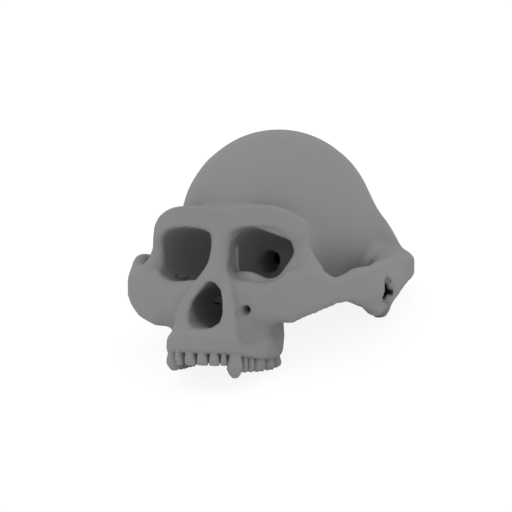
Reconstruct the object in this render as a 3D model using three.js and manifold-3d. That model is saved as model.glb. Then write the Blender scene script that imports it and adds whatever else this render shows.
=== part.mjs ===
// Teaching cast of an early hominid cranium, taken apart along its sutures and tooth sockets.
// The model is sculpted in its own frame: x to the skull's left, y to its back, z up, nasion at zero.
// It is then tipped onto the table, where it rests on the third molars and the two mastoid tips.
import * as THREE from 'three';
import Module from 'manifold-3d';
import { mergeVertices } from 'three/addons/utils/BufferGeometryUtils.js';
import { triTable } from 'three/addons/objects/MarchingCubes.js';

// Driving sizes of the skull, in millimetres
const faceBreadth = 100;        // across the outer ends of the brows
const baseLength = 100;         // nasion to the front of the foramen magnum
const baseHeight = 100;         // base to bregma
const vaultBreadth = 120;
const vaultLength = 156;
const vaultHeight = 133.5;
const vaultSetBack = 84.5;      // middle of the vault behind nasion
const vaultLift = 12;
const orbitBreadth = 37;
const orbitHeight = 32;
const orbitDepth = 50;
const orbitWall = 6;
const noseBreadth = 22;
const noseHeight = 28;
const noseTop = 19;             // top of the nasal opening below nasion
const foramenMagnum = 29;
const earBore = 10;
const opticBore = 12;
const cheekForamen = 4.4;
const barGauge = 10;            // thickness of a stout bar of bone, such as the arch
const vaultWall = 5.5;
const sutureGap = 0.3;
const socketGap = 0.3;
const restFacet = 0.7;          // how much the third molars are worn flat, and half the mastoid tips' flat
const midlineEase = 1.5;        // rounds the crease where the two mirrored halves meet
const faceCell = 5.4;           // facet size of the face and base
const vaultCell = 11;           // facet size of the vault

// Blends between neighbouring forms
const softBlend = 16;
const mildBlend = 10;
const firmBlend = 8;
const crispBlend = 3;
const edgeRound = 4.5;

const molarDepth = 10;          // cheek to tongue
const rootLength = 9;
const cuspRise = 0.7;
const wornCanine = 3;           // how much shorter the right canine is
const septumWidth = 1.6;        // thickness of the vomer
const mergeSpan = 1e-3;         // points nearer than this are one point

// A place in the skull from its shares of the face breadth, base length and base height
const at = (x, y, z) => new THREE.Vector3(x * faceBreadth, y * baseLength, z * baseHeight);

// Rails are rows of x, y and z shares, then sizes as shares of the bar gauge
const railOf = (shares) => shares.map(([x, y, z, ...sizes]) => ({
  place: at(x, y, z),
  sizes: sizes.map((share) => share * barGauge),
}));

const blendBetween = (a, b, width) => {
  const h = Math.max(width - Math.abs(a - b), 0) / width;
  return Math.min(a, b) - h * h * width / 4;
};

// Signed distance to an ellipsoid, good enough near its surface
function ellipsoid(centre, radii) {
  const least = Math.min(radii.x, radii.y, radii.z);
  return (p) => {
    const x = (p.x - centre.x) / radii.x;
    const y = (p.y - centre.y) / radii.y;
    const z = (p.z - centre.z) / radii.z;
    const k0 = Math.hypot(x, y, z);
    const k1 = Math.hypot(x / radii.x, y / radii.y, z / radii.z);
    return k0 < 1e-6 ? -least : k0 * (k0 - 1) / k1;
  };
}

// Splits a rail into short straight steps along a smooth curve
function stepsOf(rail) {
  const curve = new THREE.CatmullRomCurve3(rail.map((row) => row.place), false, 'catmullrom', 0.5);
  const perSpan = rail.length > 2 ? 4 : 1;
  const count = (rail.length - 1) * perSpan;
  const steps = [];
  for (let i = 0; i <= count; i++) {
    const along = i / perSpan;
    const from = Math.min(Math.floor(along), rail.length - 2);
    const sizes = rail[from].sizes.map((s, k) => s + (rail[from + 1].sizes[k] - s) * (along - from));
    steps.push({ place: curve.getPoint(i / count), sizes });
  }
  return steps;
}

// Round bar along a rail, its radius changing from row to row
function bar(shares) {
  const steps = stepsOf(railOf(shares));
  return (p) => {
    let best = Infinity;
    for (let i = 0; i + 1 < steps.length; i++) {
      const a = steps[i];
      const b = steps[i + 1];
      const ex = b.place.x - a.place.x;
      const ey = b.place.y - a.place.y;
      const ez = b.place.z - a.place.z;
      const qx = p.x - a.place.x;
      const qy = p.y - a.place.y;
      const qz = p.z - a.place.z;
      const h = THREE.MathUtils.clamp((qx * ex + qy * ey + qz * ez) / (ex * ex + ey * ey + ez * ez), 0, 1);
      const radius = a.sizes[0] + (b.sizes[0] - a.sizes[0]) * h;
      best = Math.min(best, Math.hypot(qx - ex * h, qy - ey * h, qz - ez * h) - radius);
    }
    return best;
  };
}

// Upright plate along a rail: each row has half its height and half its thickness
function plate(shares) {
  const steps = stepsOf(railOf(shares));
  return (p) => {
    let best = Infinity;
    for (let i = 0; i + 1 < steps.length; i++) {
      const a = steps[i];
      const b = steps[i + 1];
      const ex = b.place.x - a.place.x;
      const ey = b.place.y - a.place.y;
      const qx = p.x - a.place.x;
      const qy = p.y - a.place.y;
      const h = THREE.MathUtils.clamp((qx * ex + qy * ey) / (ex * ex + ey * ey), 0, 1);
      const middle = a.place.z + (b.place.z - a.place.z) * h;
      const halfHeight = a.sizes[0] + (b.sizes[0] - a.sizes[0]) * h;
      const halfThick = a.sizes[1] + (b.sizes[1] - a.sizes[1]) * h;
      const round = Math.min(edgeRound, halfHeight, halfThick);
      const u = Math.hypot(qx - ex * h, qy - ey * h) - halfThick + round;
      const w = Math.abs(p.z - middle) - halfHeight + round;
      const corner = Math.hypot(Math.max(u, 0), Math.max(w, 0));
      best = Math.min(best, corner + Math.min(Math.max(u, w), 0) - round);
    }
    return best;
  };
}

// Rounded square funnel of an eye socket, from its mouth to its apex
const funnelBow = 3;            // higher keeps the funnel wide for longer
const funnelEnd = 0.6;
const funnelSwell = 0.08;       // how much wider it is behind its mouth, as a share
const funnelSteepness = 0.8;
function funnel(mouth, apex, halfMouth, halfApex, squareness, before) {
  const axis = apex.clone().sub(mouth);
  const depth = axis.length();
  axis.normalize();
  const aside = new THREE.Vector3(axis.y, -axis.x, 0).normalize();
  const upward = aside.clone().cross(axis);
  const q = new THREE.Vector3();
  return (p) => {
    q.copy(p).sub(mouth);
    const t = q.dot(axis) / depth;
    const within = THREE.MathUtils.clamp(t, 0, 1);
    const swell = 1 + funnelSwell * Math.sin(Math.PI * within);
    const taper = swell * Math.pow(1 - Math.pow(within, funnelBow), funnelEnd);
    const halfWide = halfApex + (halfMouth.x - halfApex) * taper;
    const halfTall = halfApex + (halfMouth.y - halfApex) * taper;
    const u = Math.abs(q.dot(aside)) / halfWide;
    const w = Math.abs(q.dot(upward)) / halfTall;
    const r = Math.pow(Math.pow(u, squareness) + Math.pow(w, squareness), 1 / squareness);
    const side = (r - 1) * Math.min(halfWide, halfTall) * funnelSteepness;
    return Math.max(side, (t - 1) * depth, -t * depth - before);
  };
}

// Half space below a plane through a place
function below(place, tilt) {
  const normal = new THREE.Vector3(0, tilt, 1).normalize();
  return (p) => normal.x * (place.x - p.x) + normal.y * (place.y - p.y) + normal.z * (place.z - p.z);
}

// Rails and places as shares, from the front of the skull to its back
const browShares = [
  [0, 0.04, 0.16, 0.7, 0.6], [0.14, 0, 0.19, 0.7, 0.6], [0.28, 0, 0.19, 0.65, 0.6],
  [0.39, 0.04, 0.155, 0.6, 0.55], [0.445, 0.08, 0.11, 0.55, 0.5],
];
const pillarShares = [[0.435, 0.08, 0.09, 0.6], [0.495, 0.1, -0.02, 0.55], [0.54, 0.1, -0.12, 0.65]];
const cheekShares = [
  [0.28, -0.03, -0.34, 1, 0.6], [0.42, 0.01, -0.28, 1.55, 0.6], [0.54, 0.05, -0.25, 1.3, 0.6],
  [0.66, 0.13, -0.247, 0.75, 0.5], [0.73, 0.26, -0.215, 0.88, 0.4], [0.76, 0.46, -0.195, 0.93, 0.4],
  [0.73, 0.68, -0.18, 1.05, 0.45], [0.69, 0.88, -0.16, 1.05, 0.6], [0.68, 1.08, -0.14, 1.05, 0.7],
  [0.7, 1.3, -0.11, 0.8, 0.65], [0.57, 1.46, -0.08, 0.75, 0.5], [0.27, 1.58, -0.02, 0.7, 0.5],
  [0, 1.61, 0, 0.8, 0.5],
];
const rightCheekShares = [
  [0.3, -0.03, -0.38, 0.9, 0.55], [0.44, 0, -0.34, 1.2, 0.55], [0.555, 0.05, -0.3, 1.25, 0.55],
  [0.65, 0.13, -0.235, 1.25, 0.45], [0.72, 0.26, -0.16, 1.25, 0.4], [0.74, 0.44, -0.155, 1.2, 0.4],
  [0.73, 0.6, -0.18, 1, 0.4],
];
const crestShares = [[0.44, 1.08, 0.25, 0.25], [0.55, 1.2, 0.14, 0.45], [0.64, 1.31, -0.05, 0.5]];
const earPlateShares = [
  [0.745, 0.4, -0.255, 0.95, 0.4], [0.74, 0.56, -0.295, 1.1, 0.4], [0.725, 0.7, -0.305, 1.05, 0.4],
  [0.75, 0.86, -0.235, 0.85, 0.45], [0.715, 0.97, -0.22, 0.65, 0.5],
];
const mastoidShares = [[0.64, 1, -0.2, 0.95], [0.66, 0.96, -0.34, 0.62], [0.65, 0.95, -0.4, 0.5]];
const gumShares = [
  [0, -0.29, -0.545, 0.65, 0.6], [0.11, -0.27, -0.545, 0.65, 0.6], [0.2, -0.205, -0.565, 0.6, 0.7],
  [0.245, -0.1, -0.58, 0.65, 0.65], [0.262, 0.06, -0.59, 0.7, 0.62], [0.242, 0.17, -0.57, 0.8, 0.55],
];
const noseRidgeShares = [[0, -0.02, 0.06, 0.5], [0, -0.05, -0.06, 0.4], [0, -0.13, -0.17, 0.4]];
const noseSideShares = [
  [0.03, 0.02, -0.04, 0.35], [0.07, -0.08, -0.17, 0.35], [0.115, -0.16, -0.27, 0.35],
  [0.15, -0.21, -0.38, 0.4], [0.18, -0.225, -0.53, 0.5],
];
const leftSillShares = [
  [0.08, 0.02, -0.17, 0.35], [0.19, -0.025, -0.172, 0.35], [0.29, -0.005, -0.21, 0.35],
  [0.385, 0.01, -0.178, 0.3], [0.46, 0.07, -0.05, 0.3],
];
const leftLintelShares = [[0.25, -0.02, 0.15, 0.3], [0.43, 0.04, 0.08, 0.3]];
const pterygoidShares = [[0.14, 0.26, -0.4, 1.5, 0.25], [0.17, 0.36, -0.38, 1.3, 0.25]];
// Outline of the nasal opening: how far down and how wide, as shares of its height and breadth
const noseFrontShare = -0.5;
const noseBackShare = -0.04;
const openNoseShares = [
  [0, 0], [0.06, 0.17], [0.22, 0.33], [0.44, 0.45], [0.66, 0.5], [0.86, 0.44], [0.97, 0.26], [1, 0],
];

// Lumps of bone: a centre, then radii
const lumpShares = {
  forehead: [[0, 0.42, 0.12], [0.4, 0.36, 0.4]],
  nape: [[0, 1.22, -0.04], [0.6, 0.36, 0.26]],
  base: [[0, 0.76, -0.2], [0.42, 0.4, 0.17]],
  earRegion: [[0.55, 1.08, -0.2], [0.19, 0.24, 0.19]],
  midface: [[0, 0.08, -0.28], [0.33, 0.24, 0.24]],
  muzzle: [[0, -0.06, -0.46], [0.235, 0.22, 0.18]],
  noseRoot: [[0, 0.22, -0.08], [0.13, 0.26, 0.22]],
  sphenoidBody: [[0, 0.44, -0.22], [0.26, 0.26, 0.12]],
  palateArch: [[0, 0, -0.69], [0.2, 0.3, 0.16]],
  noseCavity: [[0, 0.02, -0.35], [0.145, 0.3, 0.13]],
  tuber: [[0.225, 0.19, -0.47], [0.06, 0.12, 0.16]],
};
const lump = (name) => ellipsoid(...lumpShares[name].map((row) => at(...row)));

// Planes that bound the vault from below: a place, then a tilt
const underVaultShares = [[0, 0.6, -0.3], 0.05];
const underNapeShares = [[0, 1.12, -0.36], -0.58];
const boundedBy = ([place, tilt]) => below(at(...place), tilt);

const orbitMouthShares = [0.25, -0.06, -0.032];
const shellMouthShares = [0.26, 0.06, -0.03];
const orbitApexShares = [0.2, -0.07];
const orbitMouth = at(...orbitMouthShares);
const orbitApex = new THREE.Vector3(
  orbitApexShares[0] * faceBreadth,
  orbitMouth.y + orbitDepth,
  orbitApexShares[1] * baseHeight,
);
const orbitHalf = new THREE.Vector2(orbitBreadth, orbitHeight).multiplyScalar(0.5);
const socketHalf = orbitHalf.clone().addScalar(orbitWall * 0.8);
const orbitSquareness = 2.8;
const shellSquareness = 2.3;
const socketApex = orbitApex.clone().add(at(0.01, 0.06, 0.01));
const [noseCentre, noseRadii] = lumpShares.noseCavity.map((row) => at(...row));
const vaultCentre = new THREE.Vector3(0, vaultSetBack, vaultLift);
const vaultRadii = new THREE.Vector3(vaultBreadth, vaultLength, vaultHeight).multiplyScalar(0.5);

// The cranium, form by form: what is added, what bounds it and what is hollowed out
const form = [
  ['add', ellipsoid(vaultCentre, vaultRadii), softBlend],
  ['add', lump('forehead'), softBlend],
  ['bound', boundedBy(underVaultShares), softBlend],
  ['bound', boundedBy(underNapeShares), softBlend],
  ['add', lump('nape'), softBlend],
  ['add', lump('base'), softBlend],
  ['add', bar(crestShares), softBlend],
  ['add', lump('earRegion'), mildBlend],
  ['add', bar(mastoidShares), firmBlend],
  ['add', plate(earPlateShares), firmBlend],
  ['add', funnel(at(...shellMouthShares), socketApex, socketHalf, barGauge, shellSquareness, 0), firmBlend],
  ['add', plate(browShares), firmBlend],
  ['add', bar(pillarShares), firmBlend],
  ['add', plate(cheekShares), firmBlend],
  ['add', plate(rightCheekShares), firmBlend, 'right'],
  ['add', lump('midface'), mildBlend],
  ['add', lump('muzzle'), softBlend],
  ['add', plate(gumShares), mildBlend],
  ['add', lump('tuber'), firmBlend],
  ['add', bar(noseRidgeShares), firmBlend],
  ['add', bar(noseSideShares), firmBlend],
  ['add', lump('noseRoot'), firmBlend],
  ['add', plate(pterygoidShares), firmBlend],
  ['add', lump('sphenoidBody'), mildBlend],
  ['cut', funnel(orbitMouth, orbitApex, orbitHalf, 0.4 * barGauge, orbitSquareness, orbitDepth), crispBlend],
  ['add', bar(leftSillShares), crispBlend, 'left'],
  ['add', bar(leftLintelShares), crispBlend, 'left'],
  ['cut', lump('noseCavity'), crispBlend],
  ['cut', lump('palateArch'), crispBlend],
];

const probe = new THREE.Vector3();
function cranium(x, y, z) {
  const mirrored = Math.sqrt(x * x + midlineEase * midlineEase) - midlineEase * 0.4;
  let distance = Infinity;
  for (const [use, shape, blend, side] of form) {
    probe.set(side === 'right' ? -x : side === 'left' ? x : mirrored, y, z);
    const near = shape(probe);
    if (use === 'add') distance = distance === Infinity ? near : blendBetween(distance, near, blend);
    else if (use === 'cut') distance = -blendBetween(-distance, near, blend);
    else distance = -blendBetween(-distance, -near, blend);
  }
  return distance;
}

// Facets a signed distance inside a box, then evens the facets out along the surface
const cornerSteps = [[0, 0, 0], [1, 0, 0], [1, 1, 0], [0, 1, 0], [0, 0, 1], [1, 0, 1], [1, 1, 1], [0, 1, 1]];
const cellEdges = [
  [0, 1], [1, 2], [2, 3], [3, 0], [4, 5], [5, 6], [6, 7], [7, 4], [0, 4], [1, 5], [2, 6], [3, 7],
];

function facet(distance, low, high, cell) {
  const counts = high.clone().sub(low).divideScalar(cell).ceil();
  const nx = counts.x + 1;
  const ny = counts.y + 1;
  const nz = counts.z + 1;
  const index = (i, j, k) => i + nx * (j + ny * k);
  const values = new Float64Array(nx * ny * nz);
  for (let k = 0; k < nz; k++) {
    for (let j = 0; j < ny; j++) {
      for (let i = 0; i < nx; i++) {
        const shell = i === 0 || j === 0 || k === 0 || i === nx - 1 || j === ny - 1 || k === nz - 1;
        const d = distance(low.x + i * cell, low.y + j * cell, low.z + k * cell);
        values[index(i, j, k)] = shell ? Math.max(d, cell / 10) : d;
      }
    }
  }
  const points = [];
  const triangles = [];
  const known = new Map();
  const pointOn = (a, b) => {
    const ia = index(...a);
    const ib = index(...b);
    const key = Math.min(ia, ib) * values.length + Math.max(ia, ib);
    if (!known.has(key)) {
      const t = THREE.MathUtils.clamp(values[ia] / (values[ia] - values[ib]), 0.02, 0.98);
      known.set(key, points.length);
      points.push(new THREE.Vector3(
        low.x + (a[0] + (b[0] - a[0]) * t) * cell,
        low.y + (a[1] + (b[1] - a[1]) * t) * cell,
        low.z + (a[2] + (b[2] - a[2]) * t) * cell,
      ));
    }
    return known.get(key);
  };
  for (let k = 0; k + 1 < nz; k++) {
    for (let j = 0; j + 1 < ny; j++) {
      for (let i = 0; i + 1 < nx; i++) {
        const corners = cornerSteps.map(([a, b, c]) => [i + a, j + b, k + c]);
        let code = 0;
        corners.forEach((corner, bit) => {
          if (values[index(...corner)] < 0) code |= 1 << bit;
        });
        for (let t = code * 16; triTable[t] !== -1; t += 3) {
          const face = [0, 1, 2].map((n) => {
            const [from, to] = cellEdges[triTable[t + n]];
            return pointOn(corners[from], corners[to]);
          });
          triangles.push(face);
        }
      }
    }
  }
  return even(points, triangles, distance, cell);
}

function even(points, triangles, distance, cell) {
  const neighbours = points.map(() => new Set());
  for (const [a, b, c] of triangles) {
    neighbours[a].add(b).add(c);
    neighbours[b].add(a).add(c);
    neighbours[c].add(a).add(b);
  }
  const nudge = cell / 50;
  const slope = new THREE.Vector3();
  for (let round = 0; round < 4; round++) {
    const moved = points.map((point, i) => {
      const mean = new THREE.Vector3();
      for (const n of neighbours[i]) mean.add(points[n]);
      mean.divideScalar(neighbours[i].size);
      return point.clone().lerp(mean, 0.6);
    });
    for (const p of moved) {
      for (let pull = 0; pull < 2; pull++) {
        const d = distance(p.x, p.y, p.z);
        slope.set(
          distance(p.x + nudge, p.y, p.z) - distance(p.x - nudge, p.y, p.z),
          distance(p.x, p.y + nudge, p.z) - distance(p.x, p.y - nudge, p.z),
          distance(p.x, p.y, p.z + nudge) - distance(p.x, p.y, p.z - nudge),
        ).divideScalar(2 * nudge);
        const steep = Math.max(slope.lengthSq(), 0.25);
        const step = THREE.MathUtils.clamp(d / steep, -cell / 4, cell / 4);
        p.addScaledVector(slope, -step);
      }
    }
    moved.forEach((p, i) => points[i].copy(p));
  }
  return geometryOf(points, triangles.flat());
}

function geometryOf(points, index) {
  const places = points.flatMap((p) => [p.x, p.y, p.z]);
  const geometry = new THREE.BufferGeometry();
  geometry.setAttribute('position', new THREE.Float32BufferAttribute(places, 3));
  geometry.setIndex(index);
  return volumeOf(geometry) < 0 ? turnedOut(geometry) : geometry;
}

function volumeOf(geometry) {
  const position = geometry.getAttribute('position');
  const index = geometry.index.array;
  const [a, b, c] = [new THREE.Vector3(), new THREE.Vector3(), new THREE.Vector3()];
  let volume = 0;
  for (let i = 0; i < index.length; i += 3) {
    a.fromBufferAttribute(position, index[i]);
    b.fromBufferAttribute(position, index[i + 1]);
    c.fromBufferAttribute(position, index[i + 2]);
    volume += a.dot(b.cross(c)) / 6;
  }
  return volume;
}

function turnedOut(geometry) {
  const index = Array.from(geometry.index.array);
  for (let i = 0; i < index.length; i += 3) [index[i], index[i + 1]] = [index[i + 1], index[i]];
  geometry.setIndex(index);
  return geometry;
}

// Joining and cutting
const wasm = await Module();
wasm.setup();

function solid(geometry) {
  const bare = geometry.clone();
  bare.deleteAttribute('normal');
  bare.deleteAttribute('uv');
  const plain = mergeVertices(bare, mergeSpan);
  return new wasm.Manifold(new wasm.Mesh({
    numProp: 3,
    vertProperties: new Float32Array(plain.getAttribute('position').array),
    triVerts: new Uint32Array(plain.index.array),
  }));
}

// Bores that run straight from place to place, as shares, with the bore at each end
const boreShares = [
  { rail: [[0, 1.28, -0.7], [0, 1.18, -0.1]], bore: foramenMagnum, taper: 0.95, sides: 24, paired: false },
  { rail: [[0.83, 0.66, -0.27], [0.62, 0.98, -0.25]], bore: earBore, taper: 0.8, sides: 12, paired: true },
  { rail: [[0.145, 0.3, -0.075], [0.13, 0.62, -0.07]], bore: opticBore, taper: 1, sides: 12, paired: true },
  {
    rail: [[0.213, -0.22, -0.38], [0.213, 0.02, -0.33]],
    bore: cheekForamen,
    taper: 1,
    sides: 9,
    paired: false,
  },
];
function boresOf({ rail, bore, taper, sides, paired }) {
  return (paired ? [1, -1] : [1]).map((side) => {
    const [from, to] = rail.map(([x, y, z]) => at(side * x, y, z));
    const axis = to.clone().sub(from);
    const geometry = new THREE.CylinderGeometry(bore / 2 * taper, bore / 2, axis.length(), sides);
    const up = new THREE.Vector3(0, 1, 0);
    geometry.applyQuaternion(new THREE.Quaternion().setFromUnitVectors(up, axis.clone().normalize()));
    geometry.translate(...from.add(to).divideScalar(2).toArray());
    return solid(geometry);
  });
}

// Nasal opening, cut straight back into the nasal cavity
function nasalOpening() {
  const half = openNoseShares.map(([down, wide]) => [
    wide * noseBreadth / faceBreadth,
    -(noseTop + down * noseHeight) / baseHeight,
  ]);
  const mirrored = half.slice(1, -1).reverse().map(([x, z]) => [-x, z]);
  return region('front', [...half, ...mirrored], noseFrontShare, noseBackShare).inside;
}

// Geometry of the largest body of a solid: thin slivers left along a cut fall away
function largestBody(body) {
  const mesh = body.getMesh();
  const group = Array.from({ length: mesh.vertProperties.length / mesh.numProp }, (_, i) => i);
  const rootOf = (i) => {
    let top = i;
    while (group[top] !== top) top = group[top] = group[group[top]];
    return top;
  };
  for (let i = 0; i < mesh.triVerts.length; i += 3) {
    group[rootOf(mesh.triVerts[i])] = rootOf(mesh.triVerts[i + 1]);
    group[rootOf(mesh.triVerts[i + 1])] = rootOf(mesh.triVerts[i + 2]);
  }
  const bodies = new Map();
  for (let i = 0; i < mesh.triVerts.length; i += 3) {
    const top = rootOf(mesh.triVerts[i]);
    if (!bodies.has(top)) bodies.set(top, []);
    bodies.get(top).push(mesh.triVerts[i], mesh.triVerts[i + 1], mesh.triVerts[i + 2]);
  }
  const geometries = [...bodies.values()].map((triangles) => {
    const numbers = new Map();
    const places = [];
    for (const v of triangles) {
      if (numbers.has(v)) continue;
      numbers.set(v, numbers.size);
      places.push(...mesh.vertProperties.slice(v * mesh.numProp, v * mesh.numProp + 3));
    }
    const geometry = new THREE.BufferGeometry();
    geometry.setAttribute('position', new THREE.Float32BufferAttribute(places, 3));
    geometry.setIndex(triangles.map((v) => numbers.get(v)));
    return geometry;
  });
  return geometries.sort((a, b) => volumeOf(b) - volumeOf(a))[0];
}

// Outline moved outwards by a distance, corner by corner
function grown(outline, by) {
  const turn = THREE.ShapeUtils.isClockWise(outline) ? -1 : 1;
  return outline.map((point, i) => {
    const before = outline[(i + outline.length - 1) % outline.length];
    const after = outline[(i + 1) % outline.length];
    const n1 = new THREE.Vector2(point.y - before.y, before.x - point.x).normalize();
    const n2 = new THREE.Vector2(after.y - point.y, point.x - after.x).normalize();
    const out = n1.clone().add(n2);
    return point.clone().addScaledVector(out, turn * by / (1 + n1.dot(n2)));
  });
}

// A region of space around a bone: an outline seen from one side, run through along that axis
const viewFrames = {
  side: {
    place: (a, b) => new THREE.Vector2(a * baseLength, b * baseHeight),
    turn: (geometry) => geometry.rotateY(Math.PI / 2).rotateX(Math.PI / 2),
    depthUnit: faceBreadth,
  },
  front: {
    place: (a, b) => new THREE.Vector2(a * faceBreadth, b * baseHeight),
    turn: (geometry) => geometry.rotateX(Math.PI / 2),
    depthUnit: baseLength,
  },
  top: {
    place: (a, b) => new THREE.Vector2(a * faceBreadth, b * baseLength),
    turn: (geometry) => geometry,
    depthUnit: baseHeight,
  },
};

function region(view, shares, from, to) {
  const { place, turn, depthUnit } = viewFrames[view];
  const outline = shares.map(([a, b]) => place(a, b));
  const make = (by) => {
    const start = from * depthUnit - by;
    const depth = (to - from) * depthUnit + 2 * by;
    const shape = new THREE.Shape(grown(outline, by));
    const geometry = new THREE.ExtrudeGeometry(shape, { depth, bevelEnabled: false });
    if (view === 'front') geometry.translate(0, 0, -start - depth);
    else geometry.translate(0, 0, start);
    return solid(turn(geometry));
  };
  return { inside: make(0), cleared: make(sutureGap) };
}

const leftAndRight = (view, shares, from, to) => {
  if (view === 'side') return [region(view, shares, from, to), region(view, shares, -to, -from)];
  return [region(view, shares, from, to), region(view, shares.map(([a, b]) => [-a, b]), from, to)];
};
const joined = (...parts) => ({
  inside: parts.map((part) => part.inside).reduce((a, b) => a.add(b)),
  cleared: parts.map((part) => part.cleared).reduce((a, b) => a.add(b)),
});

// The bones of the orbit's inner wall end a little above its floor
const innerWallShare = 0.44;
const innerWallFoot = (orbitMouth.z - innerWallShare * orbitHeight) / baseHeight;

// Suture lines, as outlines of the region that each bone fills
const regions = {
  occipital: joined(
    region('side', [
      [1.75, 0.72], [1.44, 0.5], [1.36, 0.3], [1.26, 0.1], [1.2, -0.02], [1.17, -0.1], [1.13, -0.28],
      [1.12, -0.8], [1.75, -0.8],
    ], -1.2, 1.2),
    region('top', [
      [-0.13, 0.6], [0.13, 0.6], [0.19, 0.85], [0.26, 1], [0.38, 1.15], [0.38, 1.3], [-0.38, 1.3],
      [-0.38, 1.15], [-0.26, 1], [-0.19, 0.85],
    ], -0.8, -0.02),
  ),
  parietal: leftAndRight('side', [
    [0.6, 1.1], [0.57, 0.75], [0.5, 0.5], [0.43, 0.28], [0.4, 0.12], [0.52, 0.14], [0.66, 0.23],
    [0.84, 0.26], [1, 0.2], [1.12, 0.09], [1.26, 0.06], [1.75, 0.06], [1.75, 1.1],
  ], 0, 1.2),
  frontal: region('side', [
    [-0.6, 0.035], [0.2, 0.035], [0.34, 0.09], [0.41, 0.12], [0.46, 0.3], [0.63, 0.8], [0.63, 1.1],
    [-0.6, 1.1],
  ], -1.2, 1.2),
  sphenoid: joined(
    region('top', [
      [-0.6, 0.21], [0.6, 0.21], [0.6, 0.46], [0.3, 0.5], [0.16, 0.63], [-0.16, 0.63], [-0.3, 0.5],
      [-0.6, 0.46],
    ], -0.2, 0.3),
    region('top', [
      [-0.24, 0.235], [0.24, 0.235], [0.3, 0.5], [0.16, 0.63], [-0.16, 0.63], [-0.3, 0.5],
    ], -0.9, -0.15),
  ),
  temporal: leftAndRight('side', [[0.46, -0.9], [1.4, -0.9], [1.4, 0.5], [0.46, 0.5]], 0, 1.2),
  zygomatic: leftAndRight('front', [
    [0.27, 0.1], [0.27, -0.2], [0.32, -0.32], [0.39, -0.5], [1.2, -0.6], [1.2, 0.1],
  ], -0.6, 0.6),
  nasal: leftAndRight('front', [[0, 0.1], [0.042, 0.1], [0.05, -0.06], [0.06, -0.3], [0, -0.3]], -0.5, 0.03),
  ethmoid: region('top', [
    [-0.02, 0.035], [0.02, 0.035], [0.02, 0.09], [0.2, 0.09], [0.18, 0.3], [-0.18, 0.3], [-0.2, 0.09],
    [-0.02, 0.09],
  ], innerWallFoot, 0.1),
  lacrimal: leftAndRight('top', [
    [0.025, 0.035], [0.2, 0.035], [0.2, 0.09], [0.025, 0.09],
  ], innerWallFoot, 0.1),
  palatine: leftAndRight('top', [[0, 0.12], [0.19, 0.12], [0.19, 0.4], [0, 0.4]], -0.62, -0.42),
  maxilla: leftAndRight('top', [[0, -0.6], [1.2, -0.6], [1.2, 0.6], [0, 0.6]], -1, 0.3),
};

// Hollow of the braincase: an ellipsoid inside the vault, flat over the base and the eye sockets
const frontFloorShares = [0.44, 0.16];
const backFloorShares = [0.68, -0.19];
function braincase() {
  const hollow = new THREE.SphereGeometry(1, 22, 15);
  const radii = vaultRadii.clone().subScalar(vaultWall);
  const [, frontEdge, highFloor] = at(0, ...frontFloorShares);
  const [, backEdge, lowFloor] = at(0, ...backFloorShares);
  hollow.rotateX(Math.PI / 2);
  hollow.scale(radii.x, radii.y - vaultWall / 3, radii.z);
  hollow.translate(vaultCentre.x, vaultCentre.y + vaultWall / 3, vaultCentre.z);
  const position = hollow.getAttribute('position');
  for (let i = 0; i < position.count; i++) {
    const floor = THREE.MathUtils.mapLinear(
      THREE.MathUtils.clamp(position.getY(i), frontEdge, backEdge), frontEdge, backEdge, highFloor, lowFloor,
    );
    position.setZ(i, Math.max(position.getZ(i), floor));
  }
  return solid(hollow);
}

// Teeth: section and height of each ring as shares of the crown, for three kinds of crown.
// A ring is [height, breadth, depth]: height 0 at the gum and 1 at the biting edge, below 0 in the root.
const rootRingShares = [[-1, 0.22, 0.26], [-0.55, 0.55, 0.6], [-0.12, 0.76, 0.82]];
const crownRingShares = {
  cutting: [[0.06, 0.8, 0.9], [0.4, 0.96, 0.94], [0.75, 1, 0.66], [1, 0.94, 0.36]],
  pointed: [[0.06, 0.76, 0.84], [0.35, 0.94, 0.98], [0.62, 1, 0.94], [0.84, 0.7, 0.66], [1, 0.34, 0.34]],
  chewing: [[0.06, 0.86, 0.88], [0.4, 1, 1], [0.78, 0.95, 0.9], [1, 0.68, 0.6]],
};
const ringPoints = 10;
const ringSquareness = 2.6;

// One row a tooth: kind, cusps, turn in degrees, x and y shares, gum line and biting edge as shares
// below nasion, then the crown's breadth along the row as a share of a molar's, which follows the
// sizes that the row is laid out by, and its depth as a share of a molar's depth, less where the row
// is short. The left front row is crowded: it has one small tooth more than the right.
const molarBreadthShare = 0.1;
const pairedToothShares = {
  canine: ['pointed', 0, 42, 0.198, -0.248, 0.616, 0.748, 0.92, 0.94],
  first_premolar: ['chewing', 2, 62, 0.216, -0.18, 0.622, 0.72, 0.42, 0.76],
  second_premolar: ['chewing', 2, 66, 0.233, -0.137, 0.63, 0.72, 0.46, 0.8],
  first_molar: ['chewing', 4, 76, 0.249, -0.062, 0.642, 0.722, 1.02, 0.98],
  second_molar: ['chewing', 4, 86, 0.262, 0.046, 0.652, 0.72, 1.04, 1],
  third_molar: ['chewing', 4, 90, 0.265, 0.144, 0.656, 0.712, 0.84, 0.96],
};
const leftToothShares = {
  central_incisor: ['cutting', 0, 4, 0.019, -0.306, 0.606, 0.678, 0.68, 0.62],
  lateral_incisor: ['cutting', 0, 14, 0.09, -0.296, 0.608, 0.678, 0.62, 0.6],
  extra_incisor: ['cutting', 0, 26, 0.142, -0.278, 0.61, 0.677, 0.39, 0.5],
};
const rightToothShares = {
  central_incisor: ['cutting', 0, 8, 0.06, -0.304, 0.606, 0.68, 0.74, 0.64],
  lateral_incisor: ['cutting', 0, 26, 0.14, -0.29, 0.608, 0.681, 0.54, 0.58],
};
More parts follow.
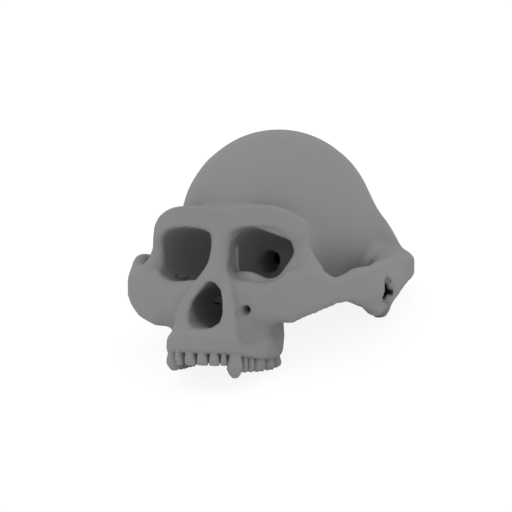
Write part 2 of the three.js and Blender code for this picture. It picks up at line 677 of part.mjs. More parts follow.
const specsOf = (shares) => Object.entries(shares).map(([name, row]) => {
  const [kind, cusps, turn, x, y, gum, edge, breadth, depth] = row;
  const lean = THREE.MathUtils.degToRad(turn);
  const rowScale = Math.hypot(Math.cos(lean) * faceBreadth, Math.sin(lean) * baseLength);
  const room = Math.hypot(Math.sin(lean) * faceBreadth, Math.cos(lean) * baseLength);
  const fit = room / Math.max(faceBreadth, baseLength);
  return {
    name,
    kind,
    cusps,
    turn,
    place: at(x, y, -gum),
    crown: (edge - gum) * baseHeight,
    breadth: breadth * molarBreadthShare * rowScale,
    depth: depth * fit * molarDepth,
  };
});
const toothRows = {
  left: specsOf({ ...leftToothShares, ...pairedToothShares }),
  right: specsOf({ ...rightToothShares, ...pairedToothShares }),
};

function tooth(spec, side, grow = 0) {
  const worn = side < 0 && spec.kind === 'pointed' ? wornCanine : 0;
  const crown = spec.crown - worn;
  const rings = [...rootRingShares, ...crownRingShares[spec.kind]];
  const turn = THREE.MathUtils.degToRad(spec.turn) * side;
  const points = [];
  const topRing = 0.7;
  rings.forEach(([height, breadth, depth], level) => {
    const z = spec.place.z - (height < 0 ? height * rootLength : height * crown);
    const chewed = spec.kind === 'chewing' && height > topRing ? cuspRise * height : 0;
    const beyond = level === 0 ? grow : level === rings.length - 1 ? -grow : 0;
    for (let i = 0; i < ringPoints; i++) {
      const angle = (i / ringPoints) * 2 * Math.PI;
      const [c, s] = [Math.cos(angle), Math.sin(angle)];
      const reach = Math.abs(c) ** ringSquareness + Math.abs(s) ** ringSquareness;
      const round = Math.pow(reach, -1 / ringSquareness);
      const u = c * round * (spec.breadth / 2 * breadth + grow);
      const v = s * round * (spec.depth / 2 * depth + grow);
      const firstCusp = spec.cusps === 4 ? Math.PI / 4 : 0;
      const lift = chewed * (1 + Math.cos(spec.cusps * (angle - firstCusp)));
      points.push(new THREE.Vector3(
        side * spec.place.x + u * Math.cos(turn) - v * Math.sin(turn),
        spec.place.y + u * Math.sin(turn) + v * Math.cos(turn),
        z + lift / 2 - chewed / 2 + beyond,
      ));
    }
  });
  const last = rings.length - 1;
  const centreOf = (level) => {
    const centre = new THREE.Vector3();
    for (let i = 0; i < ringPoints; i++) centre.add(points[level * ringPoints + i]);
    return centre.divideScalar(ringPoints);
  };
  const tip = centreOf(0);
  const bite = centreOf(last);
  if (spec.kind === 'chewing') bite.z += cuspRise - grow;
  points.push(tip, bite);
  const triangles = [];
  for (let i = 0; i < ringPoints; i++) {
    const next = (i + 1) % ringPoints;
    triangles.push(points.length - 2, next, i);
    for (let level = 0; level < last; level++) {
      const a = level * ringPoints + i;
      const b = level * ringPoints + next;
      triangles.push(a, b, b + ringPoints, a, b + ringPoints, a + ringPoints);
    }
    triangles.push(points.length - 1, last * ringPoints + i, last * ringPoints + next);
  }
  return solid(geometryOf(points, triangles));
}

// Vomer: a thin upright plate let into grooves in the floor and back of the nasal cavity
function vomer(grow) {
  const outline = [];
  for (let degrees = -90; degrees <= 8; degrees += 14) {
    const angle = THREE.MathUtils.degToRad(degrees);
    outline.push(new THREE.Vector2(
      noseCentre.y + Math.cos(angle) * (noseRadii.y + septumWidth / 3),
      noseCentre.z + Math.sin(angle) * (noseRadii.z + septumWidth / 3),
    ));
  }
  const depth = septumWidth + 2 * grow;
  const shape = new THREE.Shape(grown(outline, grow));
  const geometry = new THREE.ExtrudeGeometry(shape, { depth, bevelEnabled: false });
  geometry.translate(0, 0, -depth / 2);
  return solid(viewFrames.side.turn(geometry));
}

// Inferior concha: a curled shelf let into the side wall of the nasal cavity
const conchaShares = [
  [1.05, 0.4], [1.05, 0.12], [0.62, 0.02], [0.48, -0.42], [0.36, -0.42], [0.42, 0.12], [0.6, 0.34],
];
function concha(side, grow) {
  const outline = conchaShares.map(([a, b]) => new THREE.Vector2(
    side * a * noseRadii.x,
    noseCentre.z + b * noseRadii.z,
  ));
  const start = noseCentre.y + 0.3 * noseRadii.y - grow;
  const depth = 0.45 * noseRadii.y + 2 * grow;
  const shape = new THREE.Shape(grown(outline, grow));
  const geometry = new THREE.ExtrudeGeometry(shape, { depth, bevelEnabled: false });
  geometry.translate(0, 0, -start - depth);
  return solid(viewFrames.front.turn(geometry));
}

// Table plane: through both third molars and both mastoid tips, a little above their ends
const lastTooth = toothRows.left.at(-1);
const mastoidTip = railOf(mastoidShares).at(-1);
const frontRest = new THREE.Vector3(0, lastTooth.place.y, lastTooth.place.z - lastTooth.crown + restFacet);
const mastoidEnd = mastoidTip.place.z - mastoidTip.sizes[0];
const backRest = new THREE.Vector3(0, mastoidTip.place.y, mastoidEnd + 2 * restFacet);
const tilt = -Math.atan2(backRest.z - frontRest.z, backRest.y - frontRest.y);
function underTable() {
  const extent = 4 * vaultLength;
  const geometry = new THREE.BoxGeometry(extent, extent, extent);
  geometry.translate(0, 0, -extent / 2);
  geometry.rotateX(-tilt);
  geometry.translate(frontRest.x, frontRest.y, frontRest.z);
  return solid(geometry);
}

// Cast resin, matte grey all over
const castColour = 0x868686;
const castRoughness = 0.85;
function piece(name, geometry) {
  geometry.computeVertexNormals();
  const material = new THREE.MeshStandardMaterial({ color: castColour, roughness: castRoughness });
  const mesh = new THREE.Mesh(geometry, material);
  mesh.name = name;
  return mesh;
}

// Boxes that the fine and the coarse facets are made in
const boxShares = {
  low: [-0.96, -0.46, -0.8],
  high: [0.96, 1.74, 0.88],
  faceEnd: 1.36,
  vaultStart: [0.3, -0.6],
};
const low = at(...boxShares.low);
const high = at(...boxShares.high);
const faceHigh = new THREE.Vector3(high.x, boxShares.faceEnd * baseLength, high.z);
const vaultLow = at(boxShares.low[0], ...boxShares.vaultStart);

const skull = new THREE.Group();
const hollow = braincase();
const table = underTable();
const septum = vomer(0);
const fittings = [vomer(sutureGap), concha(1, sutureGap), concha(-1, sutureGap)];
const sides = [['left', 1], ['right', -1]];

let fine = solid(facet(cranium, low, faceHigh, faceCell)).subtract(hollow);
let coarse = solid(facet(cranium, vaultLow, high, vaultCell)).subtract(hollow);
for (const bore of boreShares.flatMap(boresOf)) {
  fine = fine.subtract(bore);
  coarse = coarse.subtract(bore);
}
for (const fitting of [...fittings, nasalOpening()]) fine = fine.subtract(fitting);

const take = (name, part, fromCoarse, also = (body) => body) => {
  const source = fromCoarse ? coarse : fine;
  const body = also(source.intersect(part.inside)).subtract(table);
  skull.add(piece(name, largestBody(body)));
  fine = fine.subtract(part.cleared);
  coarse = coarse.subtract(part.cleared);
};

take('occipital', regions.occipital, true);
sides.forEach(([word], i) => take(`parietal_${word}`, regions.parietal[i], true));
take('frontal', regions.frontal, false);
take('sphenoid', regions.sphenoid, false);
sides.forEach(([word], i) => take(`temporal_${word}`, regions.temporal[i], false));
sides.forEach(([word], i) => take(`zygomatic_${word}`, regions.zygomatic[i], false));
sides.forEach(([word], i) => take(`nasal_${word}`, regions.nasal[i], false));
take('ethmoid', regions.ethmoid, false);
sides.forEach(([word], i) => take(`lacrimal_${word}`, regions.lacrimal[i], false));
sides.forEach(([word], i) => take(`palatine_${word}`, regions.palatine[i], false));
const sockets = sides.flatMap(([word, side]) => toothRows[word].map((spec) => tooth(spec, side, socketGap)));
const socketed = (body) => sockets.reduce((left, socket) => left.subtract(socket), body);
sides.forEach(([word], i) => take(`maxilla_${word}`, regions.maxilla[i], false, socketed));

skull.add(piece('vomer', largestBody(septum)));
for (const [word, side] of sides) skull.add(piece(`inferior_concha_${word}`, largestBody(concha(side, 0))));
for (const [word, side] of sides) {
  for (const spec of toothRows[word]) {
    skull.add(piece(`${spec.name}_${word}`, largestBody(tooth(spec, side).subtract(table))));
  }
}

// Tipped onto the table, with the origin under the middle of the bounding box
skull.rotation.x = tilt;
skull.updateMatrixWorld(true);
const box = new THREE.Box3().setFromObject(skull, true);
const middle = box.getCenter(new THREE.Vector3());
skull.position.set(-middle.x, -middle.y, -box.min.z);
skull.updateMatrixWorld(true);
const model = new THREE.Group();
model.add(skull);

export default model;
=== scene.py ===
import math

import bmesh
import bpy
import numpy as np
from mathutils import Matrix, Vector


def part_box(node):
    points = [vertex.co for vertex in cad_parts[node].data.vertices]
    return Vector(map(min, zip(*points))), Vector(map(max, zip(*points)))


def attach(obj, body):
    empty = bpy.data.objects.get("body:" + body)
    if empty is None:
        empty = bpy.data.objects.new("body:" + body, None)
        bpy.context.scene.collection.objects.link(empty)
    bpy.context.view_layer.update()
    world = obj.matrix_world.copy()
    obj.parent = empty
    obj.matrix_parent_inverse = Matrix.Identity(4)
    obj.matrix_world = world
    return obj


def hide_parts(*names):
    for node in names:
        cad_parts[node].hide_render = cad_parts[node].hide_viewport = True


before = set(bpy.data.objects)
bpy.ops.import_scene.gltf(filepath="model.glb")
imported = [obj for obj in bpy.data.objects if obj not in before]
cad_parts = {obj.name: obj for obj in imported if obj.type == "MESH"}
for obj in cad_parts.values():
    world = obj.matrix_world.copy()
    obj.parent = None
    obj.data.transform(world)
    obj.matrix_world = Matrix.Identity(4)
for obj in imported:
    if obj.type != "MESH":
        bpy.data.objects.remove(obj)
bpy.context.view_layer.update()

# Sizes of the skull, in millimetres
FACE_BREADTH = 100
BASE_LENGTH = 100
BASE_HEIGHT = 100
VAULT = np.array((120, 156, 133.5)) / 2
VAULT_CENTRE = np.array((0, 84.5, 12))
VAULT_WALL = 5.5
ORBIT_BREADTH = 37
ORBIT_HEIGHT = 32
ORBIT_DEPTH = 50
ORBIT_WALL = 6
NOSE_BREADTH = 22
NOSE_HEIGHT = 28
NOSE_TOP = 19
FORAMEN_MAGNUM = 29
BAR = 10
MOLAR_DEPTH = 10
ROOT_LENGTH = 9
REST_FACET = 0.7
WORN_CANINE = 3
MIDLINE_EASE = 1.5
EDGE_ROUND = 4.5
BROW_EDGE = 1.8                         # the brow keeps a crisp upper edge
OPTIC_BORE = (9.5, 14)
CHEEK_FORAMEN = (4.4,)
EAR_SLOT = (10.5, 19)

# Blends between neighbouring forms, in millimetres
SOFT = 16
MILD = 10
FIRM = 8
CLOSE = 4
CRISP = 1.6

MM = 0.001
VOXEL = 0.9      # millimetres
SEAM_FILL = 0.35                        # how far the copies swell to close their seams


def at(x, y, z):
    """A place from its shares of the face breadth, base length and base height."""
    return np.array((x * FACE_BREADTH, y * BASE_LENGTH, z * BASE_HEIGHT), float)


# Distances to simple forms


def blend_between(a, b, width):
    h = np.maximum(width - np.abs(a - b), 0) / width
    return np.minimum(a, b) - h * h * width / 4


def ellipsoid(centre, radii):
    def distance(p):
        q = (p - centre) / radii
        k0 = np.maximum(np.linalg.norm(q, axis=1), 1e-6)
        k1 = np.maximum(np.linalg.norm(q / radii, axis=1), 1e-9)
        return k0 * (k0 - 1) / k1
    return distance, centre - radii, centre + radii


def steps_of(rows):
    """Places and sizes along a smooth curve through rows of shares."""
    places = np.array([at(*row[:3]) for row in rows])
    sizes = np.array([row[3:] for row in rows], float) * BAR
    per_span = 4 if len(rows) > 2 else 1
    ends = np.vstack((2 * places[0] - places[1], places, 2 * places[-1] - places[-2]))
    steps = []
    for i in range((len(rows) - 1) * per_span + 1):
        span = min(i // per_span, len(rows) - 2)
        t = i / per_span - span
        p0, p1, p2, p3 = ends[span:span + 4]
        t0, t1 = (p2 - p0) / 2, (p3 - p1) / 2
        place = p1 + t * t0 + t * t * (3 * (p2 - p1) - 2 * t0 - t1) + t ** 3 * (2 * (p1 - p2) + t0 + t1)
        steps.append((place, sizes[span] + (sizes[span + 1] - sizes[span]) * t))
    return steps


def reach_of(steps):
    places = np.array([place for place, _ in steps])
    widest = max(max(sizes) for _, sizes in steps)
    return places.min(0) - widest, places.max(0) + widest


def bar(rows):
    """Round bar along a rail; each row ends with its radius."""
    steps = steps_of(rows)

    def distance(p):
        best = np.full(len(p), 1e9)
        for (a, (ra,)), (b, (rb,)) in zip(steps, steps[1:]):
            edge = b - a
            q = p - a
            h = np.clip(q @ edge / (edge @ edge), 0, 1)
            gap = np.linalg.norm(q - h[:, None] * edge, axis=1)
            best = np.minimum(best, gap - ra - (rb - ra) * h)
        return best
    return (distance, *reach_of(steps))


def plate(rows, rounding=EDGE_ROUND):
    """Upright plate along a rail; each row ends with half its height and half its thickness."""
    steps = steps_of(rows)

    def distance(p):
        best = np.full(len(p), 1e9)
        for (a, sa), (b, sb) in zip(steps, steps[1:]):
            edge = (b - a)[:2]
            q = p[:, :2] - a[:2]
            h = np.clip(q @ edge / (edge @ edge), 0, 1)
            middle = a[2] + (b[2] - a[2]) * h
            half_height = sa[0] + (sb[0] - sa[0]) * h
            half_thick = sa[1] + (sb[1] - sa[1]) * h
            curve = np.minimum(rounding, np.minimum(half_height, half_thick))
            u = np.linalg.norm(q - h[:, None] * edge, axis=1) - half_thick + curve
            w = np.abs(p[:, 2] - middle) - half_height + curve
            outside = np.hypot(np.maximum(u, 0), np.maximum(w, 0))
            best = np.minimum(best, outside + np.minimum(np.maximum(u, w), 0) - curve)
        return best
    return (distance, *reach_of(steps))


# How an eye socket's funnel narrows from its mouth to its apex
FUNNEL_BOW = 3
FUNNEL_END = 0.6
FUNNEL_SWELL = 0.1
FUNNEL_STEEPNESS = 0.8


def funnel(mouth, apex, half_mouth, half_apex, squareness, before):
    """Rounded square funnel of an eye socket, from its mouth to its apex."""
    axis = apex - mouth
    depth = np.linalg.norm(axis)
    axis = axis / depth
    aside = np.array((axis[1], -axis[0], 0))
    aside /= np.linalg.norm(aside)
    upward = np.cross(aside, axis)

    def distance(p):
        q = p - mouth
        t = q @ axis / depth
        within = np.clip(t, 0, 1)
        taper = (1 + FUNNEL_SWELL * np.sin(math.pi * within)) * (1 - within ** FUNNEL_BOW) ** FUNNEL_END
        half_wide = half_apex + (half_mouth[0] - half_apex) * taper
        half_tall = half_apex + (half_mouth[1] - half_apex) * taper
        u = np.abs(q @ aside) / half_wide
        w = np.abs(q @ upward) / half_tall
        r = (u ** squareness + w ** squareness) ** (1 / squareness)
        side = (r - 1) * np.minimum(half_wide, half_tall) * FUNNEL_STEEPNESS
        return np.maximum(side, np.maximum((t - 1) * depth, -t * depth - before))
    reach = max(half_mouth) + before
    low = np.minimum(mouth, apex) - reach
    return distance, low, np.maximum(mouth, apex) + reach


def below(place, tilt):
    """Half space under a plane through a place."""
    normal = np.array((0, tilt, 1)) / math.hypot(tilt, 1)
    return (lambda p: (place - p) @ normal), None, None


def bore(rail, widths, taper=1):
    """Straight bore between two places given as shares, oval when it has two widths."""
    start, end = (at(*row) for row in rail)
    axis = end - start
    length = np.linalg.norm(axis)
    axis = axis / length
    aside = np.array((axis[1], -axis[0], 0))
    aside /= np.linalg.norm(aside)
    upward = np.cross(aside, axis)
    wide, tall = widths[0] / 2, widths[-1] / 2

    def distance(p):
        q = p - start
        t = q @ axis
        size = 1 + (taper - 1) * np.clip(t / length, 0, 1)
        r = np.hypot(q @ aside / wide, q @ upward / tall) / size
        return np.maximum((r - 1) * min(wide, tall) * size, np.maximum(t - length, -t))
    reach = max(wide, tall)
    return distance, np.minimum(start, end) - reach, np.maximum(start, end) + reach


def teardrop(rows):
    """The nasal opening, run straight back into the nasal cavity."""
    down = np.array([row[0] for row in rows]) * NOSE_HEIGHT
    wide = np.array([row[1] for row in rows]) * NOSE_BREADTH

    def distance(p):
        x = np.abs(p[:, 0])
        z = -p[:, 2] - NOSE_TOP
        best = np.full(len(p), 1e9)
        for k in range(len(rows) - 1):
            edge = np.array((wide[k + 1] - wide[k], down[k + 1] - down[k]))
            q = np.stack((x - wide[k], z - down[k]), axis=1)
            h = np.clip(q @ edge / (edge @ edge), 0, 1)
            best = np.minimum(best, np.linalg.norm(q - h[:, None] * edge, axis=1))
        inside = (z > 0) & (z < NOSE_HEIGHT) & (x < np.interp(z, down, wide))
        return np.maximum(np.where(inside, -best, best), p[:, 1] - NOSE_BACK)
    reach = max(NOSE_BREADTH, NOSE_HEIGHT)
    low = np.array((-reach, NOSE_FRONT, -NOSE_TOP - NOSE_HEIGHT))
    return distance, low, np.array((reach, NOSE_BACK, -NOSE_TOP))


# Rails and places as shares, from the front of the skull to its back
BROW = [
    (0, 0.04, 0.16, 0.7, 0.6), (0.14, 0, 0.19, 0.7, 0.6), (0.28, 0, 0.19, 0.65, 0.6),
    (0.39, 0.04, 0.155, 0.6, 0.55), (0.445, 0.08, 0.11, 0.55, 0.5),
]
PILLAR = [(0.425, 0.08, 0.09, 0.55), (0.47, 0.09, -0.02, 0.45), (0.525, 0.1, -0.12, 0.58)]
CHEEK = [
    (0.28, -0.03, -0.34, 1, 0.6), (0.42, 0.01, -0.28, 1.55, 0.6), (0.54, 0.05, -0.25, 1.3, 0.6),
    (0.66, 0.13, -0.247, 0.75, 0.5), (0.73, 0.26, -0.215, 0.88, 0.4), (0.76, 0.46, -0.195, 0.93, 0.4),
    (0.73, 0.68, -0.18, 1.05, 0.45), (0.69, 0.88, -0.16, 1.05, 0.6), (0.68, 1.08, -0.14, 1.05, 0.7),
    (0.7, 1.3, -0.11, 0.8, 0.65), (0.57, 1.46, -0.08, 0.75, 0.5), (0.27, 1.58, -0.02, 0.7, 0.5),
    (0, 1.61, 0, 0.8, 0.5),
]
RIGHT_CHEEK = [
    (0.3, -0.03, -0.38, 0.9, 0.55), (0.44, 0, -0.34, 1.2, 0.55), (0.555, 0.05, -0.3, 1.25, 0.55),
    (0.65, 0.13, -0.235, 1.25, 0.45), (0.72, 0.26, -0.16, 1.25, 0.4), (0.74, 0.44, -0.155, 1.2, 0.4),
    (0.73, 0.6, -0.18, 1, 0.4),
]
CREST = [(0.44, 1.08, 0.25, 0.25), (0.55, 1.2, 0.14, 0.45), (0.64, 1.31, -0.05, 0.5)]
EAR_PLATE = [
    (0.735, 0.3, -0.235, 0.85, 0.4), (0.745, 0.4, -0.255, 0.95, 0.4), (0.74, 0.56, -0.295, 1.1, 0.4),
    (0.725, 0.7, -0.305, 1.05, 0.4), (0.75, 0.86, -0.235, 0.85, 0.45), (0.715, 0.97, -0.22, 0.65, 0.5),
]
MASTOID = [(0.64, 1, -0.2, 0.95), (0.66, 0.96, -0.34, 0.62), (0.65, 0.95, -0.4, 0.5)]
GUM = [
    (0, -0.29, -0.545, 0.65, 0.6), (0.11, -0.27, -0.545, 0.65, 0.6), (0.2, -0.205, -0.565, 0.6, 0.7),
    (0.245, -0.1, -0.58, 0.65, 0.65), (0.262, 0.06, -0.59, 0.7, 0.62), (0.242, 0.17, -0.57, 0.8, 0.55),
]
NOSE_RIDGE = [(0, -0.02, 0.06, 0.5), (0, -0.05, -0.06, 0.4), (0, -0.13, -0.17, 0.4)]
NOSE_SIDE = [
    (0.03, 0.02, -0.04, 0.35), (0.07, -0.08, -0.17, 0.35), (0.115, -0.16, -0.27, 0.35),
    (0.15, -0.21, -0.38, 0.4), (0.18, -0.225, -0.53, 0.5),
]
LEFT_SILL = [
    (0.08, 0.03, -0.17, 0.35), (0.19, -0.013, -0.172, 0.35), (0.29, 0.006, -0.21, 0.35),
    (0.385, 0.01, -0.178, 0.3), (0.46, 0.07, -0.05, 0.3),
]
LEFT_LINTEL = [(0.25, -0.02, 0.15, 0.3), (0.43, 0.04, 0.08, 0.3)]
LACRIMAL_WALL = [(0.015, 0.075, -0.05, 0.88, 0.3), (0.08, 0.115, -0.07, 0.72, 0.22)]
PTERYGOID = [(0.14, 0.26, -0.4, 1.5, 0.25), (0.17, 0.36, -0.38, 1.3, 0.25)]
# Outline of the nasal opening: how far down and how wide, as shares of its height and breadth
NOSE_OPENING = [
    (0, 0), (0.05, 0.12), (0.2, 0.28), (0.44, 0.42), (0.66, 0.48), (0.86, 0.44), (0.97, 0.26), (1, 0),
]
# Where the nasal opening's run starts and ends, from front to back
NOSE_FRONT = -60
NOSE_BACK = 1
# Web of resin that the mould left behind the front teeth
WEB_ROUND = 0.6
WEB_RAIL = [
    (0, -0.256, -0.612, 0.56, 0.11), (0.07, -0.252, -0.612, 0.56, 0.11), (0.135, -0.236, -0.612, 0.56, 0.11),
    (0.18, -0.198, -0.612, 0.56, 0.11),
]
# Ellipsoids by name: centre and radii, as shares
LUMPS = {
    "forehead": ((0, 0.42, 0.12), (0.4, 0.36, 0.4)),
    "nape": ((0, 1.22, -0.04), (0.6, 0.36, 0.26)),
    "base": ((0, 0.76, -0.2), (0.42, 0.4, 0.17)),
    "ear_region": ((0.55, 1.08, -0.2), (0.19, 0.24, 0.19)),
    "midface": ((0, 0.08, -0.28), (0.33, 0.24, 0.24)),
    "muzzle": ((0, -0.06, -0.46), (0.235, 0.22, 0.18)),
    "nose_root": ((0, 0.22, -0.08), (0.13, 0.26, 0.22)),
    "sphenoid_body": ((0, 0.44, -0.22), (0.26, 0.26, 0.12)),
    "palate_arch": ((0, 0, -0.69), (0.2, 0.3, 0.16)),
    "nose_cavity": ((0, 0.02, -0.35), (0.145, 0.3, 0.13)),
    "tuber": ((0.225, 0.19, -0.47), (0.06, 0.12, 0.16)),
    "tympanic_roof": ((0.77, 0.82, -0.225), (0.026, 0.045, 0.032)),
    "tympanic_floor": ((0.755, 0.82, -0.32), (0.026, 0.045, 0.035)),
    "jaw_socket": ((0.55, 0.86, -0.33), (0.13, 0.08, 0.07)),
    "canine_fossa": ((0.33, -0.2, -0.5), (0.09, 0.1, 0.08)),
}


def lump(name):
    centre, radii = LUMPS[name]
    return ellipsoid(at(*centre), at(*radii))


# Eye sockets: a funnel, and the shell of bone around it
ORBIT_SQUARENESS = 2.8
SHELL_SQUARENESS = 2.9
SHELL_WALL_SHARE = 0.5
ORBIT_APEX_SHARE = 0.4
ORBIT_MOUTH = at(0.25, -0.06, -0.032)
ORBIT_APEX = np.array((0.2 * FACE_BREADTH, ORBIT_MOUTH[1] + ORBIT_DEPTH, -0.07 * BASE_HEIGHT))
ORBIT_HALF = np.array((ORBIT_BREADTH, ORBIT_HEIGHT)) / 2
SHELL_MOUTH = at(0.26, 0.06, -0.03)
SHELL_APEX = ORBIT_APEX + at(0.01, 0.06, 0.01)
SHELL_HALF = ORBIT_HALF + ORBIT_WALL * SHELL_WALL_SHARE
ORBIT = funnel(ORBIT_MOUTH, ORBIT_APEX, ORBIT_HALF, ORBIT_APEX_SHARE * BAR, ORBIT_SQUARENESS, ORBIT_DEPTH)

# Rails of the bores, as shares, and how much a bore narrows along its rail
OPTIC_RAIL = ((0.125, 0.3, -0.08), (0.115, 0.62, -0.075))
CHEEK_RAIL = ((0.213, -0.22, -0.38), (0.213, 0.02, -0.33))
FORAMEN_RAIL = ((0, 1.28, -0.7), (0, 1.18, -0.1))
EAR_RAIL = ((0.83, 0.66, -0.27), (0.62, 0.98, -0.25))
FORAMEN_TAPER = 0.95
SLOT_TAPER = 0.8

# The cranium, form by form: what the form does, on which side, and how widely it blends
FORM = [
    ("add", ellipsoid(VAULT_CENTRE, VAULT), SOFT),
    ("add", lump("forehead"), SOFT),
    ("bound", below(at(0, 0.6, -0.3), 0.05), SOFT),
    ("bound", below(at(0, 1.12, -0.36), -0.58), SOFT),
    ("add", lump("nape"), SOFT),
    ("add", lump("base"), SOFT),
    ("add", bar(CREST), SOFT),
    ("add", lump("ear_region"), MILD),
    ("add", bar(MASTOID), FIRM),
    ("add", plate(EAR_PLATE), FIRM),
    ("add", funnel(SHELL_MOUTH, SHELL_APEX, SHELL_HALF, BAR, SHELL_SQUARENESS, 0), FIRM),
    ("add", plate(BROW, BROW_EDGE), CLOSE),
    ("add", bar(PILLAR), FIRM),
    ("add", plate(CHEEK), FIRM),
    ("right", plate(RIGHT_CHEEK), FIRM),
    ("add", lump("midface"), MILD),
    ("add", lump("muzzle"), SOFT),
    ("add", plate(GUM), MILD),
    ("add", lump("tuber"), FIRM),
    ("add", bar(NOSE_RIDGE), FIRM),
    ("add", bar(NOSE_SIDE), CLOSE),
    ("add", lump("nose_root"), FIRM),
    ("add", plate(PTERYGOID), FIRM),
    ("add", lump("sphenoid_body"), MILD),
    ("cut", lump("jaw_socket"), CLOSE),
    ("cut", ORBIT, CRISP),
    ("left add", bar(LEFT_SILL), CRISP),
    ("left add", bar(LEFT_LINTEL), CRISP),
    ("left add", plate(LACRIMAL_WALL), CRISP),
    ("cut", bore(OPTIC_RAIL, OPTIC_BORE), CRISP),
    ("cut", teardrop(NOSE_OPENING), CRISP),
    ("cut", lump("nose_cavity"), CRISP),
    ("cut", lump("palate_arch"), CLOSE),
    ("left cut", bore(CHEEK_RAIL, CHEEK_FORAMEN, SLOT_TAPER), CRISP),
    ("cut", lump("canine_fossa"), MILD),
    ("cut", bore(FORAMEN_RAIL, (FORAMEN_MAGNUM,), FORAMEN_TAPER), CRISP),
    ("add", plate(WEB_RAIL, WEB_ROUND), CRISP),
    ("cut", bore(EAR_RAIL, EAR_SLOT, SLOT_TAPER), CRISP),
    ("add", lump("tympanic_roof"), CRISP),
    ("add", lump("tympanic_floor"), CRISP),
]

# Low relief: a side, or 0 for both, then a rail with its width and a height; below zero it is a groove
RELIEFS = []
BLEND_MARGIN = 6                        # how far past a form's box its blend is still worked out
RELIEF_MARGIN = 9
MIDLINE_DRAW = 0.4                      # share of the midline's easing that is drawn back in


def cranium(p):
    """Signed distance to the cranium's surface, at places in the skull's frame."""
    mirrored = p.copy()
    mirrored[:, 0] = np.sqrt(p[:, 0] ** 2 + MIDLINE_EASE ** 2) - MIDLINE_EASE * MIDLINE_DRAW
    plain = p * (-1, 1, 1)
    distance = None
    for use, (shape, low, high), width in FORM:
        q = plain if use.startswith("right") else p if use.startswith("left") else mirrored
        if distance is None:
            distance = shape(q)
            continue
        if low is None:
            distance = -blend_between(-distance, -shape(q), width)
            continue
        margin = width + BLEND_MARGIN
        near = np.flatnonzero(np.all((q > low - margin) & (q < high + margin), axis=1))
        if not len(near):
            continue
        d = shape(q[near])
        if use.endswith("cut"):
            distance[near] = -blend_between(-distance[near], d, width)
        else:
            distance[near] = blend_between(distance[near], d, width)
    for side, steps, height in RELIEFS:
        q = p * (side, 1, 1) if side else mirrored
        low, high = reach_of(steps)
        near = np.flatnonzero(np.all((q > low - RELIEF_MARGIN) & (q < high + RELIEF_MARGIN), axis=1))
        q = q[near]
        lift = np.zeros(len(near))
        for (a, (wa,)), (b, (wb,)) in zip(steps, steps[1:]):
            edge = b - a
            h = np.clip((q - a) @ edge / (edge @ edge), 0, 1)
            gap = np.linalg.norm(q - a - h[:, None] * edge, axis=1) / (wa + (wb - wa) * h)
            lift = np.maximum(lift, np.exp(-gap * gap))
        distance[near] -= height * lift
    return -blend_between(-distance, -table_side(p), CRISP)


# One row a tooth: kind, cusps, turn in degrees, x and y shares, gum line and biting edge as shares below
# nasion, then crown breadth and depth as shares of a molar's depth
PAIRED_TEETH = {
    "canine": ("pointed", 0, 42, 0.198, -0.248, 0.616, 0.748, 0.92, 0.94),
    "first_premolar": ("chewing", 2, 62, 0.216, -0.18, 0.622, 0.72, 0.42, 0.76),
    "second_premolar": ("chewing", 2, 66, 0.233, -0.137, 0.63, 0.72, 0.46, 0.8),
    "first_molar": ("chewing", 4, 76, 0.249, -0.062, 0.642, 0.722, 1.02, 0.98),
    "second_molar": ("chewing", 4, 86, 0.262, 0.046, 0.652, 0.72, 1.04, 1),
    "third_molar": ("chewing", 4, 90, 0.265, 0.144, 0.656, 0.712, 0.84, 0.96),
}
LEFT_TEETH = {
    "central_incisor": ("cutting", 0, 4, 0.019, -0.306, 0.606, 0.678, 0.68, 0.62),
    "lateral_incisor": ("cutting", 0, 14, 0.09, -0.296, 0.608, 0.678, 0.62, 0.6),
    "extra_incisor": ("cutting", 0, 26, 0.142, -0.278, 0.61, 0.677, 0.39, 0.5),
}
RIGHT_TEETH = {
    "central_incisor": ("cutting", 0, 8, 0.06, -0.304, 0.606, 0.68, 0.74, 0.64),
    "lateral_incisor": ("cutting", 0, 26, 0.14, -0.29, 0.608, 0.681, 0.54, 0.58),
}
TEETH = [(name, "left", 1, row) for name, row in (LEFT_TEETH | PAIRED_TEETH).items()]
TEETH += [(name, "right", -1, row) for name, row in (RIGHT_TEETH | PAIRED_TEETH).items()]

# The table plane runs through the third molars and the mastoid tips
THIRD_MOLAR_Y = PAIRED_TEETH["third_molar"][4] * BASE_LENGTH
THIRD_MOLAR_EDGE = -PAIRED_TEETH["third_molar"][6] * BASE_HEIGHT
front_rest = (THIRD_MOLAR_Y, THIRD_MOLAR_EDGE + REST_FACET)
MASTOID_END = MASTOID[-1][2] * BASE_HEIGHT - MASTOID[-1][3] * BAR
back_rest = (MASTOID[-1][1] * BASE_LENGTH, MASTOID_END + 2 * REST_FACET)
TILT = -math.atan2(back_rest[1] - front_rest[1], back_rest[0] - front_rest[0])
TIP = np.array(Matrix.Rotation(TILT, 3, "X"))


def table_side(p):
    """Distance under the table plane."""
    return front_rest[1] * math.cos(TILT) + front_rest[0] * math.sin(TILT) - p @ TIP[2]


# The skull's frame is laid on the row frame with the table plane and the vomer as guides
SEPTUM_WIDTH = 1.6
NOSE_CENTRE = at(*LUMPS["nose_cavity"][0])
NOSE_RADII = at(*LUMPS["nose_cavity"][1])
vomer_low, vomer_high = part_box("vomer")
outline = np.array([
    (
        0,
        NOSE_CENTRE[1] + math.cos(math.radians(a)) * (NOSE_RADII[1] + SEPTUM_WIDTH / 3),
        NOSE_CENTRE[2] + math.sin(math.radians(a)) * (NOSE_RADII[2] + SEPTUM_WIDTH / 3),
    )
    for a in range(-90, 9, 14)
])
SHIFT = np.array((
    (vomer_low.x + vomer_high.x) / 2 / MM,
    vomer_high.y / MM - (outline @ TIP.T)[:, 1].max(),
    -(front_rest[0] * math.sin(TILT) + front_rest[1] * math.cos(TILT)),
))


